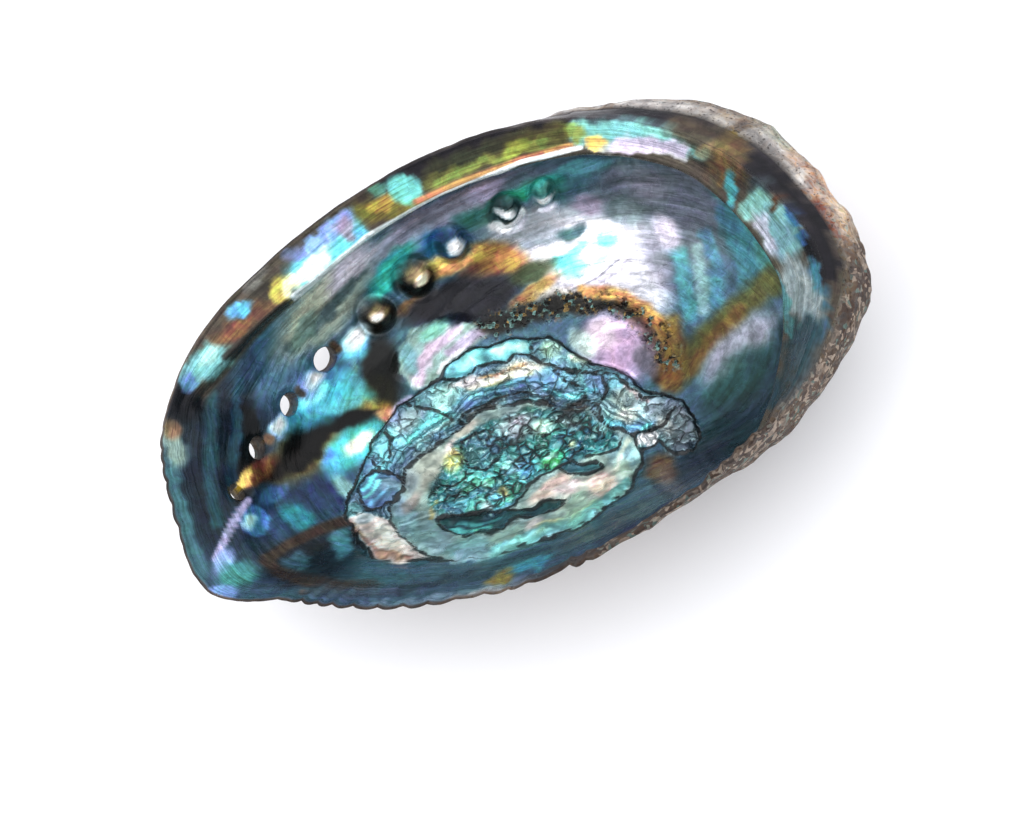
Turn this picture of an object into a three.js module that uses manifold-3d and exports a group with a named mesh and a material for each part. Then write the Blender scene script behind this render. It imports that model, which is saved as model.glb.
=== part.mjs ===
// Abalone shell lying on its back with the opening up, in millimetres, +Z up.
// +X points to the spire end, -X to the growing lip, +Y to the inner shelf and the row of pores.
// The origin is at the bottom, under the middle of the shell.
import * as THREE from "three";
import { mergeVertices } from "three/addons/utils/BufferGeometryUtils.js";
import Module from "manifold-3d";

// Driving dimensions.
const wall = 3.4; // thickness of the floor
const lipWidth = 1.6; // width of the bare edge all round
const bottom = new THREE.Vector2(17, 10); // the lowest point, below the centre of mass
const wornRadius = 5; // control radius of the small worn flat that the shell rests on
const wornDepth = 0.5; // how much is worn away there
const toOrigin = new THREE.Vector2(0.6, -0.8); // from the stations' zero to the middle of the shell's box
const noseDrop = 1.6; // height of the rounded inner edge of the shelf
const undercut = 3.2; // how far the wall goes back below that edge

// Stations round the lip, anticlockwise from the spire end: place of the lip, then the corner between
// wall and floor (fraction of the reach, and height), the outward swell of the wall, and the shelf's
// width and drop.
const stations = [
  { x: 77, y: -7, z: 41.5, corner: 0.92, cornerHeight: 11, swell: 8.5, shelf: 12.5, drop: 8 },
  { x: 71, y: 17, z: 42, corner: 0.93, cornerHeight: 11, swell: 12, shelf: 10, drop: 7 },
  { x: 56.5, y: 37, z: 43, corner: 0.94, cornerHeight: 12, swell: 13, shelf: 7, drop: 5.5 },
  { x: 34, y: 51, z: 44.5, corner: 0.93, cornerHeight: 12, swell: 6.5, shelf: 7, drop: 5 },
  { x: 7, y: 56, z: 46, corner: 0.91, cornerHeight: 12, swell: 1.5, shelf: 8.2, drop: 5.5 },
  { x: -21, y: 53.5, z: 46, corner: 0.89, cornerHeight: 12, swell: 0.5, shelf: 9, drop: 5.5 },
  { x: -47, y: 45, z: 46, corner: 0.86, cornerHeight: 12, swell: -0.5, shelf: 10.5, drop: 6 },
  { x: -69, y: 33, z: 45, corner: 0.82, cornerHeight: 13, swell: -0.5, shelf: 9.5, drop: 5 },
  { x: -83.5, y: 14, z: 43.5, corner: 0.79, cornerHeight: 14, swell: -1, shelf: 1, drop: 2.5 },
  { x: -86, y: -8, z: 41, corner: 0.77, cornerHeight: 15, swell: -1, shelf: 0, drop: 2 },
  { x: -82.3, y: -28, z: 40, corner: 0.72, cornerHeight: 16, swell: -1, shelf: 0, drop: 2 },
  { x: -64, y: -37.5, z: 41.5, corner: 0.7, cornerHeight: 16, swell: -1, shelf: 0, drop: 2 },
  { x: -41, y: -49, z: 44, corner: 0.68, cornerHeight: 16, swell: -1, shelf: 0, drop: 2 },
  { x: -13, y: -55, z: 44.5, corner: 0.67, cornerHeight: 16, swell: -0.5, shelf: 0, drop: 2 },
  { x: 15, y: -54, z: 44.5, corner: 0.69, cornerHeight: 16, swell: 0, shelf: 0, drop: 2 },
  { x: 41, y: -46, z: 44, corner: 0.76, cornerHeight: 15, swell: 1, shelf: 0, drop: 3 },
  { x: 63, y: -32.5, z: 43, corner: 0.86, cornerHeight: 12, swell: 2, shelf: 8, drop: 7 },
];

// Open pores, from the oldest to the newest: station and depth along the wall, then the oval hole.
const pores = [
  { station: 6.83, depth: 5.97, long: 6.4, wide: 5.6 },
  { station: 7.54, depth: 5.7, long: 6.0, wide: 5.0 },
  { station: 8.18, depth: 5.25, long: 5.6, wide: 4.6 },
  { station: 8.77, depth: 4.7, long: 4.8, wide: 3.8 },
];

// The low coil of the spire, on the underside near the +X end.
const spire = { x: 60, y: 8, reach: 32, height: 4.5, growth: 3, groove: 2 };

// Mesh density.
const segments = 84;
const outerRings = 18;
const innerRings = 26;

const mix = (a, b, t) => a + (b - a) * t;

const smoothStep = (value, low, high) => THREE.MathUtils.smoothstep(value, low, high);

// One smooth closed curve through the stations, for every one of their values at once.
function stationAt(position) {
  const count = stations.length;
  const index = Math.floor(position);
  const t = position - index;
  const near = [-1, 0, 1, 2].map((step) => stations[(index + step + count) % count]);
  const values = {};
  for (const key of Object.keys(stations[0])) {
    const [a, b, c, d] = near.map((station) => station[key]);
    const linear = (c - a) * t;
    const square = (2 * a - 5 * b + 4 * c - d) * t ** 2;
    const cube = (-a + 3 * b - 3 * c + d) * t ** 3;
    values[key] = 0.5 * (2 * b + linear + square + cube);
  }
  return values;
}

// Weight of each control point of a clamped cubic B-spline at parameter t.
function splineWeights(count, t) {
  const degree = 3;
  const spans = count - degree;
  const knot = (index) => THREE.MathUtils.clamp(index - degree, 0, spans);
  const at = Math.min(t, spans - 1e-9);
  let weights = Array.from({ length: count + degree }, (_, i) => (at >= knot(i) && at < knot(i + 1) ? 1 : 0));
  for (let order = 1; order <= degree; order += 1) {
    const next = [];
    for (let i = 0; i < weights.length - 1; i += 1) {
      const rise = knot(i + order) - knot(i);
      const fall = knot(i + order + 1) - knot(i + 1);
      const up = rise > 0 ? ((at - knot(i)) / rise) * weights[i] : 0;
      const down = fall > 0 ? ((knot(i + order + 1) - at) / fall) * weights[i + 1] : 0;
      next.push(up + down);
    }
    weights = next;
  }
  return weights;
}

// Control points [reach from the bottom, height] of the outer face, from the bottom to the lip.
function outerControls(station) {
  const reach = Math.hypot(station.x - bottom.x, station.y - bottom.y);
  const corner = station.corner * reach;
  const low = station.cornerHeight;
  const high = station.z;
  return [
    [0, -wornDepth],
    [wornRadius, -wornDepth],
    [0.5 * corner, 0.12 * low + 0.4],
    [0.8 * corner, 0.42 * low],
    [corner, low],
    [mix(corner, reach, 0.5) + 1.1 * station.swell, mix(low, high, 0.5) - 1],
    [mix(corner, reach, 0.85) + 1.05 * station.swell, mix(low, high, 0.84)],
    [reach, high],
  ];
}

// Control points of the inner face, from the lip over the shelf and down the wall to the floor.
function innerControls(station) {
  const outer = outerControls(station);
  const shift = (index, along, up) => [outer[index][0] + along, outer[index][1] + up];
  const reach = outer[7][0];
  const lip = [reach - lipWidth, station.z - 0.3];
  const upperWall = shift(6, -2.6, 0.2);
  const edge = [reach - station.shelf, station.z - station.drop];
  const plain = [0.2, 0.4, 0.6, 0.8, 1].map((t) => [mix(lip[0], upperWall[0], t), mix(lip[1], upperWall[1], t)]);
  const shelf = [
    [mix(lip[0], edge[0], 0.35), mix(lip[1], edge[1], 0.35) - 0.5],
    [edge[0] + 2.2, edge[1] + 0.55],
    [edge[0] - 0.1, edge[1] + 0.25],
    [edge[0] - 0.5, edge[1] - noseDrop],
    [edge[0] + undercut, edge[1] - 4.2],
  ];
  const presence = smoothStep(station.shelf, 0.5, 5.5);
  const ledge = plain.map((point, i) => [
    mix(point[0], shelf[i][0], presence),
    mix(point[1], shelf[i][1], presence),
  ]);
  return [
    lip,
    ...ledge,
    shift(5, -3.2, 0.6),
    shift(4, -3, 1.9),
    shift(3, -1.4, wall - 0.2),
    shift(2, -0.4, wall),
    shift(1, 0, wall + wornDepth),
    shift(0, 0, wall + wornDepth),
  ];
}

// A point of a face, at a station's controls and a parameter along them.
function facePoint(station, controls, t) {
  const weights = splineWeights(controls.length, t);
  const reach = weights.reduce((sum, weight, i) => sum + weight * controls[i][0], 0);
  const height = weights.reduce((sum, weight, i) => sum + weight * controls[i][1], 0);
  const outward = new THREE.Vector2(station.x, station.y).sub(bottom).normalize();
  return new THREE.Vector3(bottom.x + outward.x * reach, bottom.y + outward.y * reach, height);
}

// The spire: rounded whorls of a logarithmic spiral, raised on the outer face and fading into it.
function raiseSpire(point) {
  const dx = point.x - spire.x;
  const dy = point.y - spire.y;
  const distance = Math.hypot(dx, dy, 0.6 * point.z - 4);
  const turns = Math.log(Math.max(distance, 0.5) / spire.reach) / Math.log(spire.growth);
  const across = THREE.MathUtils.euclideanModulo(turns + Math.atan2(dy, dx) / (2 * Math.PI), 1);
  const fade = 1 - smoothStep(distance, 0.45 * spire.reach, spire.reach);
  const lift = fade * (spire.height * (1 - distance / spire.reach) + spire.groove * (Math.sin(Math.PI * across) - 0.6));
  point.x += 0.75 * lift;
  point.z = point.z - 0.65 * lift;
}

const outerPoint = (station, t) => {
  const point = facePoint(station, outerControls(station), t);
  raiseSpire(point);
  point.z = Math.max(point.z, 0);
  return point;
};

const innerPoint = (station, t) => facePoint(station, innerControls(station), t);

// The closed skin: rings from the bottom up the outer face, over the lip and down the inner face.
function shellGeometry() {
  const outerSpans = 5;
  const innerSpans = 9;
  const positions = [];
  const indices = [];
  const rings = [];
  for (let ring = 1; ring <= outerRings; ring += 1) {
    rings.push((station) => outerPoint(station, (outerSpans * ring) / outerRings));
  }
  for (let ring = 0; ring < innerRings; ring += 1) {
    rings.push((station) => innerPoint(station, (innerSpans * ring) / innerRings));
  }
  for (const ring of rings) {
    for (let segment = 0; segment < segments; segment += 1) {
      const station = stationAt((segment / segments) * stations.length);
      positions.push(...ring(station).toArray());
    }
  }
  const outerPole = rings.length * segments;
  const innerPole = outerPole + 1;
  positions.push(...outerPoint(stations[0], 0).toArray());
  positions.push(...innerPoint(stations[0], innerSpans).toArray());
  for (let segment = 0; segment < segments; segment += 1) {
    const next = (segment + 1) % segments;
    indices.push(outerPole, next, segment);
    for (let ring = 0; ring < rings.length - 1; ring += 1) {
      const a = ring * segments + segment;
      const b = ring * segments + next;
      const c = a + segments;
      const d = b + segments;
      indices.push(a, b, d, a, d, c);
    }
    const last = (rings.length - 1) * segments;
    indices.push(last + segment, last + next, innerPole);
  }
  const geometry = new THREE.BufferGeometry();
  geometry.setAttribute("position", new THREE.Float32BufferAttribute(positions, 3));
  geometry.setIndex(indices);
  return geometry;
}

// An oval plug through the wall, square to the inner face.
function poreGeometry(pore) {
  const step = 0.05;
  const at = (station, depth) => innerPoint(stationAt(station), depth);
  const centre = at(pore.station, pore.depth);
  const along = at(pore.station + step, pore.depth).sub(at(pore.station - step, pore.depth)).normalize();
  const down = at(pore.station, pore.depth + step).sub(at(pore.station, pore.depth - step)).normalize();
  const through = along.clone().cross(down).normalize();
  const across = through.clone().cross(along);
  const plug = new THREE.CylinderGeometry(0.5, 0.5, 16, 20);
  plug.scale(pore.long, 1, pore.wide);
  const frame = new THREE.Matrix4().makeBasis(along, through, across.negate());
  plug.applyMatrix4(frame.setPosition(centre));
  return plug;
}

const wasm = await Module();
wasm.setup();

function solid(geometry) {
  geometry.deleteAttribute("normal");
  geometry.deleteAttribute("uv");
  const merged = mergeVertices(geometry, 1e-4);
  return new wasm.Manifold(
    new wasm.Mesh({
      numProp: 3,
      vertProperties: new Float32Array(merged.attributes.position.array),
      triVerts: new Uint32Array(merged.index.array),
    }),
  );
}

let body = solid(shellGeometry());
for (const pore of pores) {
  body = body.subtract(solid(poreGeometry(pore)));
}

const result = body.getMesh();
const geometry = new THREE.BufferGeometry();
geometry.setAttribute("position", new THREE.BufferAttribute(result.vertProperties, 3));
geometry.setIndex(new THREE.BufferAttribute(result.triVerts, 1));
geometry.translate(toOrigin.x, toOrigin.y, 0);
geometry.computeVertexNormals();

const nacre = new THREE.MeshStandardMaterial({ color: 0x4f8f97, roughness: 0.25, metalness: 0.4 });
const shell = new THREE.Mesh(geometry, nacre);
shell.name = "shell";

const model = new THREE.Group();
model.add(shell);

export default model;
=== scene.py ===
# Abalone shell: camera and studio, then the shell's surface, its relief, its colours and its materials.
import math

import bpy
import numpy as np
from mathutils import Matrix, Vector
from mathutils.kdtree import KDTree


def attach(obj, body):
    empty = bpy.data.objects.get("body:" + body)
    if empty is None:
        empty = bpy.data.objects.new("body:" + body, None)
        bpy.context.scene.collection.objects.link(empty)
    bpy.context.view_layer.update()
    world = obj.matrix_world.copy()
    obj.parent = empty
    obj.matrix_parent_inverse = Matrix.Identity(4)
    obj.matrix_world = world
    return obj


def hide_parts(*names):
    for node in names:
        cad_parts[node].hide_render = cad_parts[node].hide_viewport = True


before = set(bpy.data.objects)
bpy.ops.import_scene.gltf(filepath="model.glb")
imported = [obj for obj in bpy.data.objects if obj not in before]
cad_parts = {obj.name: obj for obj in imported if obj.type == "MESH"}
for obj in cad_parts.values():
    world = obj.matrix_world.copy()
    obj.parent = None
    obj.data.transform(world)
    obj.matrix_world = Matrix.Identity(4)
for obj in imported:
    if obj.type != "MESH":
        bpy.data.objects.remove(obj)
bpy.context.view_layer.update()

MM = 0.001

# ---------------------------------------------------------------- view and studio
CAMERA_HEIGHT = 62  # degrees above the table
CAMERA_SIDE = -65  # degrees from +X, seen from above
CAMERA_ROLL = 42.9  # degrees, so that the shell's long side rises to the right
CAMERA_DISTANCE = 1.32
CAMERA_AIM = (-0.004, -0.006, 0.028)
LENS = 200
SENSOR_WIDTH = 36
WORLD_TINT = (0.93, 0.95, 1, 1)
WORLD_STRENGTH = 1.15
FLOOR_TINT = (0.94, 0.94, 0.95, 1)

DRAWING_HEIGHT = 44  # mm: height at which the drawing plane of the markings meets the lip
to_origin = np.array([0.6, -0.8, 0.0])  # from the stations' zero to the middle of the shell's box


def view_axes(height, side):
    """Right, up and towards, of somebody who looks at the shell from there with its long side level."""
    e = math.radians(height)
    s = math.radians(side)
    towards = Vector((math.cos(e) * math.cos(s), math.cos(e) * math.sin(s), math.sin(e)))
    right = Vector((-math.sin(s), math.cos(s), 0))
    up = towards.cross(right)
    return right, up, towards


def add_camera():
    """A long lens at the viewing angle, so that the shell fills most of the frame."""
    right, up, towards = view_axes(CAMERA_HEIGHT, CAMERA_SIDE)
    turn = Matrix.Rotation(-math.radians(CAMERA_ROLL), 3, towards)
    right = turn @ right
    up = turn @ up
    data = bpy.data.cameras.new("camera")
    data.lens = LENS
    data.sensor_width = SENSOR_WIDTH
    camera = bpy.data.objects.new("camera", data)
    place = Vector(CAMERA_AIM) + towards * CAMERA_DISTANCE
    rotation = Matrix((right, up, towards)).transposed().to_4x4()
    camera.matrix_world = Matrix.Translation(place) @ rotation
    bpy.context.scene.collection.objects.link(camera)
    bpy.context.scene.camera = camera


def add_area(name, place, aim, size, power, colour=(1, 1, 1)):
    data = bpy.data.lights.new(name, "AREA")
    data.shape = "RECTANGLE"
    data.size = size[0]
    data.size_y = size[1]
    data.energy = power
    data.color = colour
    light = bpy.data.objects.new(name, data)
    direction = Vector(aim) - Vector(place)
    light.rotation_euler = direction.to_track_quat("-Z", "Y").to_euler()
    light.location = place
    bpy.context.scene.collection.objects.link(light)


def add_studio():
    world = bpy.data.worlds.new("studio")
    world.use_nodes = True
    background = world.node_tree.nodes["Background"]
    background.inputs["Color"].default_value = WORLD_TINT
    background.inputs["Strength"].default_value = WORLD_STRENGTH
    bpy.context.scene.world = world
    add_area("window", (-0.56, -0.1, 1.2), (0, 0, 0), (1.0, 1.0), 5.5)
    add_area("fill", (1.0, 1.0, 1.2), (0, 0, 0), (2.0, 2.0), 6, (0.95, 0.97, 1))
    add_area("front", (1.0, -0.9, 1.0), (0, 0, 0), (1.8, 1.8), 10)
    bpy.context.scene.view_settings.view_transform = "Standard"
    add_floor()


def add_floor():
    bpy.ops.mesh.primitive_plane_add(size=6)
    floor = bpy.context.object
    floor.name = "floor"
    material = bpy.data.materials.new("floor")
    material.use_nodes = True
    shader = material.node_tree.nodes["Principled BSDF"]
    shader.inputs["Base Color"].default_value = FLOOR_TINT
    shader.inputs["Roughness"].default_value = 0.8
    floor.data.materials.append(material)


# ---------------------------------------------------------------- noise
def lattice(points, seed):
    """Value noise from -1 to 1 at points whose cells are 1 wide."""
    cell = np.floor(points).astype(np.int64)
    part = points - cell
    part = part * part * part * (part * (part * 6 - 15) + 10)
    total = np.zeros(len(points))
    for corner in range(8):
        step = np.array([corner & 1, (corner >> 1) & 1, (corner >> 2) & 1])
        at = cell + step
        key = at[:, 0] * 73856093 ^ at[:, 1] * 19349663 ^ at[:, 2] * 83492791 ^ (seed * 2654435761)
        key = (key ^ (key >> 13)) * 1274126177 & 0xFFFFFFFF
        key = (key ^ (key >> 16)) & 0xFFFFFF
        weight = np.prod(np.where(step == 1, part, 1 - part), axis=1)
        total += weight * (key / 0x7FFFFF - 1)
    return total


def noise(points, size, seed, octaves=1):
    """Layered value noise whose largest features are size mm wide."""
    total = np.zeros(len(points))
    strength = 1.0
    reach = 0.0
    for octave in range(octaves):
        total += strength * lattice(points / size * 2**octave + 17.3 * octave, seed + octave)
        reach += strength
        strength *= 0.5
    return total / reach


def smooth(value, low, high):
    t = np.clip((value - low) / (high - low), 0, 1)
    return t * t * (3 - 2 * t)


def mix(a, b, t):
    return a + (b - a) * t


# ---------------------------------------------------------------- shape, as in the CAD model
WALL = 3.4
LIP_WIDTH = 1.6
BOTTOM = np.array([17.0, 10.0])
WORN_RADIUS = 5
WORN_DEPTH = 0.5
NOSE_DROP = 1.6
UNDERCUT = 3.2

# Stations round the lip, anticlockwise from the spire end: x, y, z of the lip; the corner between wall
# and floor (fraction of the reach, height); the wall's swell; the shelf's width and drop.
STATIONS = np.array([
    (77, -7, 41.5, 0.92, 11, 8.5, 12.5, 8),
    (71, 17, 42, 0.93, 11, 12, 10, 7),
    (56.5, 37, 43, 0.94, 12, 13, 7, 5.5),
    (34, 51, 44.5, 0.93, 12, 6.5, 7, 5),
    (7, 56, 46, 0.91, 12, 1.5, 8.2, 5.5),
    (-21, 53.5, 46, 0.89, 12, 0.5, 9, 5.5),
    (-47, 45, 46, 0.86, 12, -0.5, 10.5, 6),
    (-69, 33, 45, 0.82, 13, -0.5, 9.5, 5),
    (-83.5, 14, 43.5, 0.79, 14, -1, 1, 2.5),
    (-86, -8, 41, 0.77, 15, -1, 0, 2),
    (-82.3, -28, 40, 0.72, 16, -1, 0, 2),
    (-64, -37.5, 41.5, 0.7, 16, -1, 0, 2),
    (-41, -49, 44, 0.68, 16, -1, 0, 2),
    (-13, -55, 44.5, 0.67, 16, -0.5, 0, 2),
    (15, -54, 44.5, 0.69, 16, 0, 0, 2),
    (41, -46, 44, 0.76, 15, 1, 0, 3),
    (63, -32.5, 43, 0.86, 12, 2, 8, 7),
])

# Open pores, from the oldest: station, depth along the wall, then the oval hole's length and width.
OPEN_PORES = [(6.83, 5.97, 6.4, 5.6), (7.54, 5.7, 6.0, 5.0), (8.18, 5.25, 5.6, 4.6), (8.77, 4.7, 4.8, 3.8)]
# Pores that the shell has sealed: station, depth and size.
SEALED_PORES = [(6.0, 6.16, 6.6), (5.4, 6.13, 6.6), (4.85, 5.95, 6.0), (4.17, 5.81, 5.2), (3.75, 5.73, 4.2)]

STATION_SPACING = 27.5  # mm along the lip, about
SCALLOP_LENGTH = 6.2
SPIRE_PLACE = (60, 8)
SPIRE_REACH = 32
SPIRE_HEIGHT = 4.5
SPIRE_GROWTH = 3
SPIRE_GROOVE = 2


def stations_at(position):
    """Every station value on one smooth closed curve, at positions counted in stations."""
    count = len(STATIONS)
    index = np.floor(position).astype(int)
    t = (position - index)[:, None]
    a, b, c, d = [STATIONS[(index + step) % count] for step in (-1, 0, 1, 2)]
    cubic = (-a + 3 * b - 3 * c + d) * t**3
    return 0.5 * (2 * b + (c - a) * t + (2 * a - 5 * b + 4 * c - d) * t**2 + cubic)


def spline_weights(count, t):
    """Weights of the control points of a clamped cubic B-spline, one row for each parameter."""
    degree = 3
    knots = np.clip(np.arange(count + degree + 1) - degree, 0, count - degree)
    at = np.minimum(t, count - degree - 1e-9)[:, None]
    weights = ((at >= knots[:-1]) & (at < knots[1:])).astype(float)
    for order in range(1, degree + 1):
        rise = (knots[order:-1] - knots[: -order - 1]).astype(float)
        fall = (knots[order + 1 :] - knots[1:-order]).astype(float)
        up = np.where(rise > 0, (at - knots[: -order - 1]) / np.where(rise > 0, rise, 1), 0)
        down = np.where(fall > 0, (knots[order + 1 :] - at) / np.where(fall > 0, fall, 1), 0)
        weights = up * weights[:, :-1] + down * weights[:, 1:]
    return weights


def outer_controls(station):
    reach = np.hypot(station[:, 0] - BOTTOM[0], station[:, 1] - BOTTOM[1])
    high, corner_part, low, swell = station[:, 2], station[:, 3], station[:, 4], station[:, 5]
    corner = corner_part * reach
    points = [
        (0 * reach, 0 * reach - WORN_DEPTH),
        (0 * reach + WORN_RADIUS, 0 * reach - WORN_DEPTH),
        (0.5 * corner, 0.12 * low + 0.4),
        (0.8 * corner, 0.42 * low),
        (corner, low),
        (mix(corner, reach, 0.5) + 1.1 * swell, mix(low, high, 0.5) - 1),
        (mix(corner, reach, 0.85) + 1.05 * swell, mix(low, high, 0.84)),
        (reach, high),
    ]
    return np.array([np.stack(point, -1) for point in points]).transpose(1, 0, 2)


def inner_controls(station):
    outer = outer_controls(station)
    high, width, drop = station[:, 2], station[:, 6], station[:, 7]
    reach = outer[:, 7, 0]

    def shift(index, along, up):
        return outer[:, index] + np.array([along, up])

    lip = np.stack([reach - LIP_WIDTH, high - 0.3], -1)
    upper_wall = shift(6, -2.6, 0.2)
    edge = np.stack([reach - width, high - drop], -1)
    plain = [mix(lip, upper_wall, t) for t in (0.2, 0.4, 0.6, 0.8, 1)]
    shelf = [
        mix(lip, edge, 0.35) + (0, -0.5),
        edge + (2.2, 0.55),
        edge + (-0.1, 0.25),
        edge + (-0.5, -NOSE_DROP),
        edge + (UNDERCUT, -4.2),
    ]
    presence = smooth(width, 0.5, 5.5)[:, None]
    ledge = [mix(a, b, presence) for a, b in zip(plain, shelf)]
    floor = [
        shift(5, -3.2, 0.6),
        shift(4, -3, 1.9),
        shift(3, -1.4, WALL - 0.2),
        shift(2, -0.4, WALL),
        shift(1, 0, WALL + WORN_DEPTH),
        shift(0, 0, WALL + WORN_DEPTH),
    ]
    return np.array([lip, *ledge, *floor]).transpose(1, 0, 2)


def place(station, profile):
    """Points of profiles [reach, height] stood in the upright planes through the bottom and each station."""
    outward = station[:, :2] - BOTTOM
    outward = outward / np.linalg.norm(outward, axis=1, keepdims=True)
    ground = BOTTOM + profile[..., :1] * outward[:, None, :]
    return np.concatenate([ground, profile[..., 1:]], -1)


def face_points(controls_of, position, t):
    station = stations_at(position)
    controls = controls_of(station)
    profile = np.einsum("tc,ncd->ntd", spline_weights(controls.shape[1], t), controls)
    return place(station, profile)


# ---------------------------------------------------------------- drawing plane of the markings
drawing_right, drawing_up, drawing_out = [np.array(axis) for axis in view_axes(CAMERA_HEIGHT, CAMERA_SIDE)]
long_side = np.array([drawing_right[0], drawing_up[0]])
long_side = long_side / np.linalg.norm(long_side)
DRAW_A = drawing_right * long_side[0] + drawing_up * long_side[1]
DRAW_B = drawing_up * long_side[0] - drawing_right * long_side[1]


def drawing(points):
    """Places of points in the tilted drawing plane: a along the shell, b across it, in mm."""
    zero = np.array([0, 0, DRAWING_HEIGHT])
    return np.stack([(points - zero) @ DRAW_A, (points - zero) @ DRAW_B], -1)


# ---------------------------------------------------------------- skin
# Faces of the skin. Depth runs from 0 at the outer pole to OUTER_END at the lip, from 0 to 1 over the
# crest, and from 0 at the lip to INNER_END at the inner pole. Position round the lip is in stations.
OUTER, CREST, INNER = 0, 1, 2
OUTER_END = 5
INNER_END = 9
CREST_RISE = 0.55
MEAN_RADIUS = 75  # mm, from the poles to the lip
DEPTH_STEP = 13  # mm of skin for each unit of depth, about
FINE = 576  # points round the finest rings


def ring_plan():
    """Rings of the closed skin, from the outer pole over the lip to the inner pole: face, depth, points."""
    half, quarter = FINE // 2, FINE // 4
    rings = [(OUTER, t, quarter) for t in np.linspace(0, 1.4, 15)[1:]]
    rings += [(OUTER, t, half) for t in np.linspace(1.4, 4.2, 41)[1:]]
    rings += [(OUTER, t, FINE) for t in np.linspace(4.2, OUTER_END, 11)[1:]]
    rings += [(CREST, t, FINE) for t in (0.25, 0.5, 0.75)]
    rings += [(INNER, t, FINE) for t in np.linspace(0, 4.6, 41)]
    rings += [(INNER, t, FINE) for t in np.linspace(4.6, 7.1, 67)[1:]]
    rings += [(INNER, t, half) for t in np.linspace(7.1, 8.1, 37)[1:]]
    rings += [(INNER, t, quarter) for t in np.linspace(8.1, INNER_END, 31)[1:-1]]
    return rings


def raise_spire(points):
    """The low coil of the spire, on the outer side."""
    offset = points[:, :2] - np.array(SPIRE_PLACE)
    distance = np.hypot(np.hypot(offset[:, 0], offset[:, 1]), 0.6 * points[:, 2] - 4)
    turns = np.log(np.maximum(distance, 0.5) / SPIRE_REACH) / np.log(SPIRE_GROWTH)
    across = (turns + np.arctan2(offset[:, 1], offset[:, 0]) / (2 * np.pi)) % 1
    fade = 1 - smooth(distance, 0.45 * SPIRE_REACH, SPIRE_REACH)
    coil = SPIRE_HEIGHT * (1 - distance / SPIRE_REACH) + SPIRE_GROOVE * (np.sin(np.pi * across) - 0.6)
    points = points.copy()
    points[:, 0] += 0.75 * fade * coil
    points[:, 2] -= 0.65 * fade * coil
    return points


def ring_points(face, t, position):
    if face == INNER:
        return face_points(inner_controls, position, np.array([t]))[:, 0]
    if face == OUTER:
        return raise_spire(face_points(outer_controls, position, np.array([t]))[:, 0])
    outer = ring_points(OUTER, OUTER_END, position)
    inner = ring_points(INNER, 0, position)
    return mix(outer, inner, t) + np.array([0, 0, CREST_RISE * math.sin(math.pi * t)])


class Skin:
    """Points of the closed skin with the face, depth and station of each one, and its triangles."""

    def __init__(self):
        plan = ring_plan()
        points, face, depth, position = [ring_points(OUTER, 0, np.zeros(1))], [[OUTER]], [[0.0]], [[0.0]]
        triangles = []
        start = 1
        for index, (side, t, count) in enumerate(plan):
            station = np.arange(count) * len(STATIONS) / count
            points.append(ring_points(side, t, station))
            face.append(np.full(count, side))
            depth.append(np.full(count, t))
            position.append(station)
            this = start + np.arange(count)
            if index == 0:
                triangles.append(np.stack([0 * this, np.roll(this, -1), this], -1))
            else:
                triangles.append(join_rings(before, this))
            before = this
            start += count
        points.append(ring_points(INNER, INNER_END, np.zeros(1)))
        face.append([INNER])
        depth.append([INNER_END])
        position.append([0.0])
        triangles.append(np.stack([before, np.roll(before, -1), 0 * before + start], -1))
        self.points = np.concatenate(points)
        self.face = np.concatenate(face)
        self.depth = np.concatenate(depth)
        self.position = np.concatenate(position)
        self.triangles = np.concatenate(triangles)

    def normals(self):
        a, b, c = [self.points[self.triangles[:, corner]] for corner in range(3)]
        flat = np.cross(b - a, c - a)
        total = np.zeros_like(self.points)
        for corner in range(3):
            for axis in range(3):
                weights = flat[:, axis]
                total[:, axis] += np.bincount(self.triangles[:, corner], weights, len(self.points))
        return total / np.linalg.norm(total, axis=1, keepdims=True)


def join_rings(first, second):
    """Triangles between two rings, where one ring may have twice the points of the other."""
    if len(first) == len(second):
        ahead, beyond = np.roll(first, -1), np.roll(second, -1)
        return np.concatenate([np.stack([first, ahead, beyond], -1), np.stack([first, beyond, second], -1)])
    if len(first) < len(second):
        flipped = join_rings(second, first)
        return flipped[:, ::-1]
    even, odd, ahead = first[0::2], first[1::2], np.roll(first[0::2], -1)
    beyond = np.roll(second, -1)
    sides = [(even, odd, second), (odd, beyond, second), (odd, ahead, beyond)]
    return np.concatenate([np.stack(side, -1) for side in sides])


# ---------------------------------------------------------------- drawing helpers
def ellipse(points, centre, radii, turn=0):
    """Distance from a centre, 1 on the ellipse with these radii."""
    offset = points - np.array(centre)
    angle = math.radians(turn)
    along = offset[:, 0] * math.cos(angle) + offset[:, 1] * math.sin(angle)
    across = offset[:, 1] * math.cos(angle) - offset[:, 0] * math.sin(angle)
    return np.hypot(along / radii[0], across / radii[1])


def path_distance(points, path):
    """Distance to a line through the points of a path."""
    best = np.full(len(points), 1e9)
    for start, end in zip(path[:-1], path[1:]):
        start, along = np.array(start, float), np.array(end, float) - np.array(start, float)
        offset = points - start
        t = np.clip(offset @ along / (along @ along), 0, 1)
        gap = offset - t[:, None] * along
        best = np.minimum(best, gap[:, 0] ** 2 + gap[:, 1] ** 2)
    return np.sqrt(best)


def outline_distance(points, outline):
    """Distance to a closed outline, positive inside it."""
    closed = [*outline, outline[0]]
    inside = np.zeros(len(points), bool)
    for (x0, y0), (x1, y1) in zip(closed[:-1], closed[1:]):
        crosses = (points[:, 1] < y0) != (points[:, 1] < y1)
        rise = (points[:, 1] - y0) / (y1 - y0 if y1 != y0 else 1)
        inside ^= crosses & (points[:, 0] < x0 + rise * (x1 - x0))
    distance = path_distance(points, closed)
    return np.where(inside, distance, -distance)


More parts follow.
